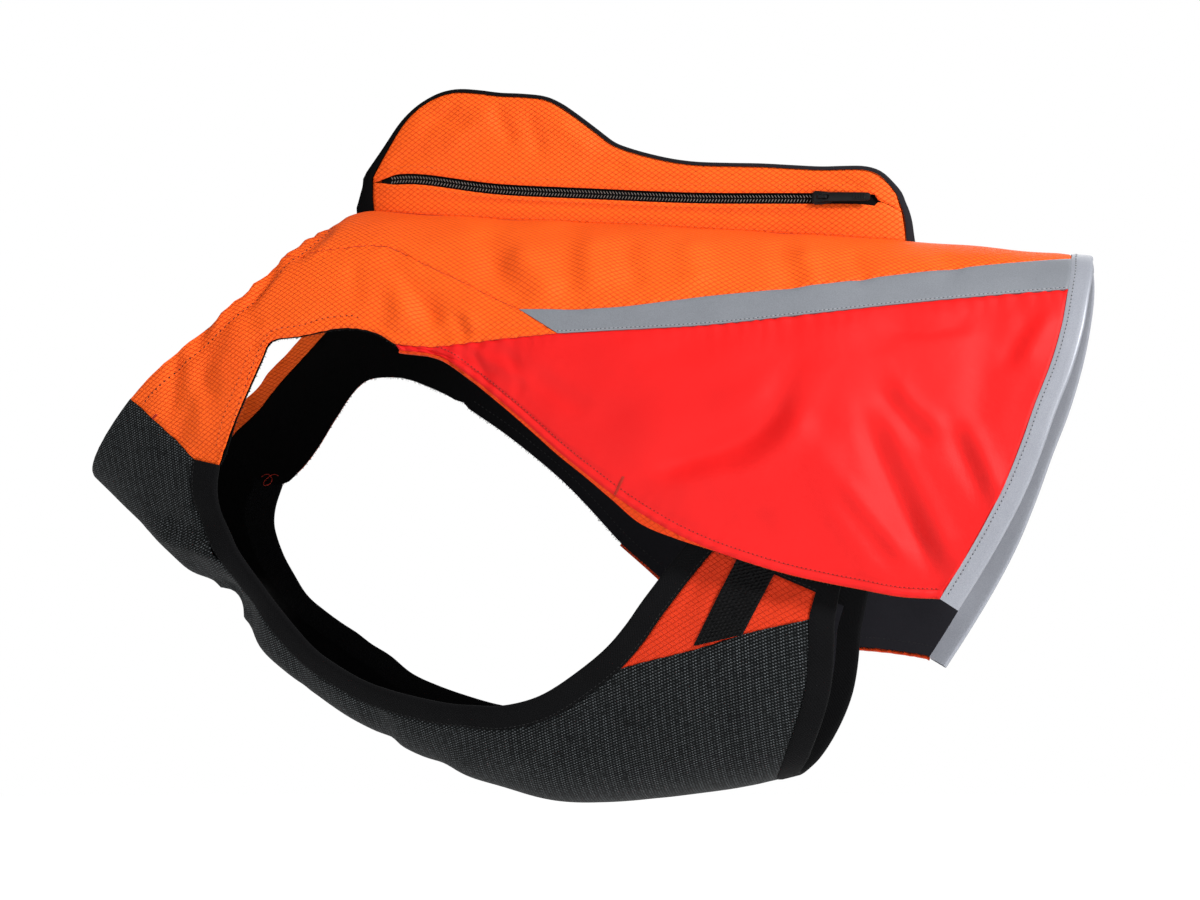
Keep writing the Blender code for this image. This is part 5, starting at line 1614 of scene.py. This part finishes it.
def new_finish(name, roughness, specular=0.3, sheen=0.0, metallic=0.0):
    """A material with its constants set on the shader, and the vectors that patterns read."""
    material = bpy.data.materials.new(name)
    material.use_nodes = True
    tree = material.node_tree
    shader = tree.nodes["Principled BSDF"]
    for socket, value in {"Roughness": roughness, "Specular IOR Level": specular,
                          "Sheen Weight": sheen, "Metallic": metallic}.items():
        shader.inputs[socket].default_value = value
    places = tree.nodes.new("ShaderNodeTexCoord").outputs["Object"]
    cut_map = tree.nodes.new("ShaderNodeUVMap")
    cut_map.uv_map = "cut"
    return material, tree, shader, places, cut_map.outputs["UV"]


def set_bump(tree, shader, height, distance):
    bump = tree.nodes.new("ShaderNodeBump")
    bump.inputs["Distance"].default_value = distance
    join(tree, height, bump.inputs["Height"])
    tree.links.new(bump.outputs["Normal"], shader.inputs["Normal"])


def set_color(tree, shader, share, first, second):
    """The base colour goes from the first to the second colour with the share."""
    tree.links.new(blend_colors(tree, share, first, second), shader.inputs["Base Color"])


# Painted light: emission on cloth that is no lamp, to lighten its shadows.
def set_painted_glow(shader, color, strength):
    shader.inputs["Emission Color"].default_value = color
    shader.inputs["Emission Strength"].default_value = strength


def fluorescent_with_painted_glow(name, color, deep, line_share, roughness, shadow_glow):
    """Dyed cloth with a painted glow: a little emission lightens its shadows, so they stay warm.
    """
    material, tree, shader, places, cut_map = new_finish(name, roughness, 0.14)
    lines = use_group(tree, ripstop, cut_map)["Line"]
    weave = use_group(tree, plain_weave, cut_map, Pitch=0.00055)["Height"]
    patchy = times(tree, calc(tree, "SUBTRACT", noise(tree, places, 14.0), 0.35), 0.5)
    depth = calc(tree, "MAXIMUM", plus(tree, patchy, times(tree, lines, line_share)), 0.0)
    set_color(tree, shader, depth, color, deep)
    set_painted_glow(shader, color, shadow_glow)
    set_bump(tree, shader, plus(tree, times(tree, weave, 0.35), lines), 0.0003)
    return material


# %% Orange ripstop and red satin
ORANGE, DEEP_ORANGE = (0.92, 0.118, 0.009, 1.0), (0.60, 0.032, 0.003, 1.0)
RED, DEEP_RED = (0.66, 0.0098, 0.0095, 1.0), (0.50, 0.0045, 0.0055, 1.0)
finishes = {"orange_ripstop": fluorescent_with_painted_glow("orange_ripstop", ORANGE, DEEP_ORANGE, 0.8, 0.55, 0.03)}

material, tree, shader, places, cut_map = new_finish("red_satin", 0.45, 0.14)
slow = ramp(tree, noise(tree, places, 11.0), 0.35, 0.8)
set_color(tree, shader, times(tree, slow, 0.35), RED, DEEP_RED)
# painted glow: a little emission lightens the red's shadows
set_painted_glow(shader, RED, 0.03)
twill = use_group(tree, plain_weave, cut_map, Pitch=0.00045)["Height"]
soft = noise(tree, places, 55.0, 3.0)
set_bump(tree, shader, plus(tree, times(tree, twill, 0.25), times(tree, soft, 1.6)), 0.00035)
finishes["red_satin"] = material

# %% Reflective tape: tiny glass beads on grey cloth


def beaded(name, dark, light):
    material, tree, shader, places, _ = new_finish(name, 0.4, 0.4, 0.0, 0.15)
    # The lighter specks are the beads' grain and partly a painted sparkle of their glass.
    beads = noise(tree, places, 2600.0, 1.0)
    share = plus(tree, times(tree, ramp(tree, beads, 0.3, 0.7), 0.6),
                 times(tree, noise(tree, places, 40.0), 0.4))
    set_color(tree, shader, share, dark, light)
    set_bump(tree, shader, beads, 0.00006)
    return material


finishes["reflective_tape"] = beaded("reflective_tape", (0.155, 0.165, 0.185, 1.0),
                                     (0.235, 0.25, 0.275, 1.0))
# The hem tape is the same tape as the stripe; its lighter copy is painted light, for the light
# that the hem's angle catches.
lit_hem_finish = beaded("reflective_hem_painted_light", (0.225, 0.235, 0.27, 1.0), (0.33, 0.345, 0.385, 1.0))

# %% Charcoal knit: two shades of yarn in every loop
material, tree, shader, places, cut_map = new_finish("charcoal_knit", 0.85, 0.07, 0.07)
knit = use_group(tree, rib_knit, cut_map)
yarn = noise(tree, places, 300.0)
worn = noise(tree, places, 30.0)
half_light = times(tree, knit["Light"], 0.5)
fleck = times(tree, knit["Stitch"], ramp(tree, yarn, 0.30, 0.52, 0.25, 1.0))
fleck = times(tree, fleck, plus(tree, half_light, 0.5))
light_yarn = blend_colors(tree, worn, (0.10, 0.113, 0.121, 1.0), (0.19, 0.208, 0.218, 1.0))
set_color(tree, shader, fleck, (0.0012, 0.0018, 0.0022, 1.0), light_yarn)
set_bump(tree, shader, plus(tree, knit["Stitch"], half_light), 0.0005)
finishes["charcoal_knit"] = material


# %% Black cloths
def black_cloth(name, color, roughness, pitch, distance, sheen, specular, lit_towards_rear=None):
    """Woven black, darker towards the neck; where a lighter colour is given, it turns to that
    towards the rear hem: painted shade deep inside the vest and painted light on the lining inside
    the far flap.
    """
    material, tree, shader, places, cut_map = new_finish(name, roughness, specular, sheen)
    slow = noise(tree, places, 35.0)
    lighter = tuple(1.9 * c for c in color[:3]) + (1.0,)
    cloth = blend_colors(tree, slow, color, lighter)
    if lit_towards_rear is not None:
        split = tree.nodes.new("ShaderNodeSeparateXYZ")
        tree.links.new(places, split.inputs[0])
        cloth = blend_colors(tree, ramp(tree, split.outputs["X"], -0.22, 0.17), cloth, lit_towards_rear)
    tree.links.new(cloth, shader.inputs["Base Color"])
    weave = use_group(tree, plain_weave, cut_map, Pitch=pitch)["Height"]
    set_bump(tree, shader, plus(tree, weave, noise(tree, places, 700.0)), distance)
    return material


for name, *looks in (
        ("black_binding", (0.0022, 0.0022, 0.0025, 1), 0.9, 0.0011, 0.0002, 0.015, 0.07),
        # the lining is darker towards the neck and lighter towards the rear hem: painted shade
        # inside the vest, painted light on the far flap's lining
        ("black_lining", (0.0006, 0.0006, 0.0007, 1), 0.8, 0.0006, 0.00008, 0.0, 0.06,
         (0.015, 0.0145, 0.018, 1)),
        ("black_webbing", (0.0010, 0.0010, 0.0012, 1), 0.6, 0.0013, 0.0003, 0.005, 0.12),
        ("black_nylon", (0.0012, 0.0011, 0.0011, 1), 0.7, 0.0007, 0.0001, 0.0, 0.06)):
    finishes[name] = black_cloth(name, *looks)

# %% Painted metal, threads and the painted shade of needle holes
material, tree, shader, places, _ = new_finish("zip_metal", 0.5, 0.2, 0.0, 0.1)
scuffs = ramp(tree, noise(tree, places, 900.0, 3.0), 0.62, 0.8)
set_color(tree, shader, scuffs, (0.0025, 0.0025, 0.003, 1.0), (0.03, 0.03, 0.032, 1.0))
set_bump(tree, shader, noise(tree, places, 1500.0), 0.00003)
finishes["zip_metal"] = material


def thread_finish(name, color, roughness=0.7):
    """Twisted thread: fine slanted strands along it."""
    material, tree, shader, places, _ = new_finish(name, roughness, 0.2, 0.1)
    strands = noise(tree, places, 3000.0, 1.0)
    darker = tuple(0.6 * c for c in color[:3]) + (1.0,)
    set_color(tree, shader, strands, darker, color)
    set_bump(tree, shader, strands, 0.00005)
    return material


piping = fluorescent_with_painted_glow("edge_piping", (0.62, 0.045, 0.003, 1.0), (0.35, 0.012, 0.001, 1.0), 0.3,
                     0.6, 0.0)
# The wing is the same orange ripstop; its darker copy is painted shade, where the flap hangs over
# it.
wing = fluorescent_with_painted_glow("wing_orange_painted_shade", (0.58, 0.031, 0.004, 1.0), (0.42, 0.011, 0.002, 1.0), 0.5,
                   0.6, 0.02)
# The zip's coil is black nylon; the grey colour of its teeth is painted highlight, the glint on
# each turn.
finish_of_piece = {"belly_wing_left_cloth": wing, "belly_wing_right_cloth": wing,
                   "edge_piping_left_cloth": piping, "edge_piping_right_cloth": piping,
                   "hem_tape_left_cloth": lit_hem_finish, "hem_tape_right_cloth": lit_hem_finish,
                   "zip_teeth": thread_finish("zip_teeth", (0.22, 0.20, 0.185, 1.0), 0.4)}
finish_of_piece |= {name: thread_finish(name, thread.color) for name, thread in THREADS.items()}

# %% Every piece and every frame node gets its finish
for name, piece in pieces.items():
    piece.data.materials.clear()
    piece.data.materials.append(finish_of_piece.get(name, finishes[piece["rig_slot"]]))
for name, node in frame["nodes"].items():
    for slot in node.material_slots:
        slot.material = finishes[slots[name]]
print("materials", len(finishes) + len(finish_of_piece))

# %% [markdown]
# ## Stage, light and camera
# A pale floor well below the hanging vest, a white world so that no horizon shows, one
# strong light from the upper right, a large weak one from the front left and one from
# behind: enough to model the folds, and soft enough for a catalogue picture.

# %% Camera
FOCAL_LENGTH = 73.85
CAMERA_AT, CAMERA_AIM = (0.3034, -1.5534, -0.3381), (-0.0268, 0.0, -0.1431)


def aim(thing, at, target):
    """Put a camera or a lamp at a place, looking at another."""
    thing.location = at
    thing.rotation_euler = (Vector(target) - thing.location).to_track_quat("-Z", "Y").to_euler()


camera_data = bpy.data.cameras.new("camera")
camera_data.lens = FOCAL_LENGTH
camera = in_scene("camera", camera_data)
aim(camera, CAMERA_AT, CAMERA_AIM)
bpy.context.scene.camera = camera

# %% Floor
FLOOR_HEIGHT, FLOOR_RADIUS = -0.52, 9.0
bm = bmesh.new()
bmesh.ops.create_circle(bm, cap_ends=True, radius=FLOOR_RADIUS, segments=64)
bmesh.ops.translate(bm, verts=bm.verts, vec=(0, 0, FLOOR_HEIGHT))
floor = in_scene("floor", as_mesh("floor", bm))
floor_finish = bpy.data.materials.new("pale_floor")
floor_finish.use_nodes = True
tree = floor_finish.node_tree
shader = tree.nodes["Principled BSDF"]
shader.inputs["Base Color"].default_value = (0.95, 0.95, 0.95, 1.0)
shader.inputs["Roughness"].default_value = 0.9
shader.inputs["Emission Color"].default_value = (1.0, 1.0, 1.0, 1.0)
seen = tree.nodes.new("ShaderNodeLightPath").outputs["Is Camera Ray"]
tree.links.new(ramp(tree, seen, 0.0, 1.0, 0.12, 0.8), shader.inputs["Emission Strength"])
floor.data.materials.append(floor_finish)

# %% World and lights
WORLD_LIGHT = 0.24
world = bpy.data.worlds.new("studio")
world.use_nodes = True
bpy.context.scene.world = world
tree = world.node_tree
background = tree.nodes["Background"]
background.inputs["Color"].default_value = (1.0, 1.0, 1.0, 1.0)
seen = tree.nodes.new("ShaderNodeLightPath").outputs["Is Camera Ray"]
tree.links.new(ramp(tree, seen, 0.0, 1.0, WORLD_LIGHT, 1.0), background.inputs["Strength"])
bpy.context.scene.view_settings.view_transform = "Standard"

MIDDLE = (0.0, 0.0, -0.12)
Light = namedtuple("Light", "name at size power")
for light in (Light("key", (1.6, -1.0, 1.0), 0.4, 60.0),
              Light("fill", (-0.8, -2.0, -0.1), 1.2, 16.0),
              Light("back", (0.2, 1.9, 1.2), 1.4, 12.0)):
    data = bpy.data.lights.new(light.name, "AREA")
    data.energy, data.size = light.power, light.size
    aim(in_scene(light.name, data), light.at, MIDDLE)

# %% Sizes
print("pieces", len(pieces), "faces", sum(len(p.data.polygons) for p in pieces.values()))
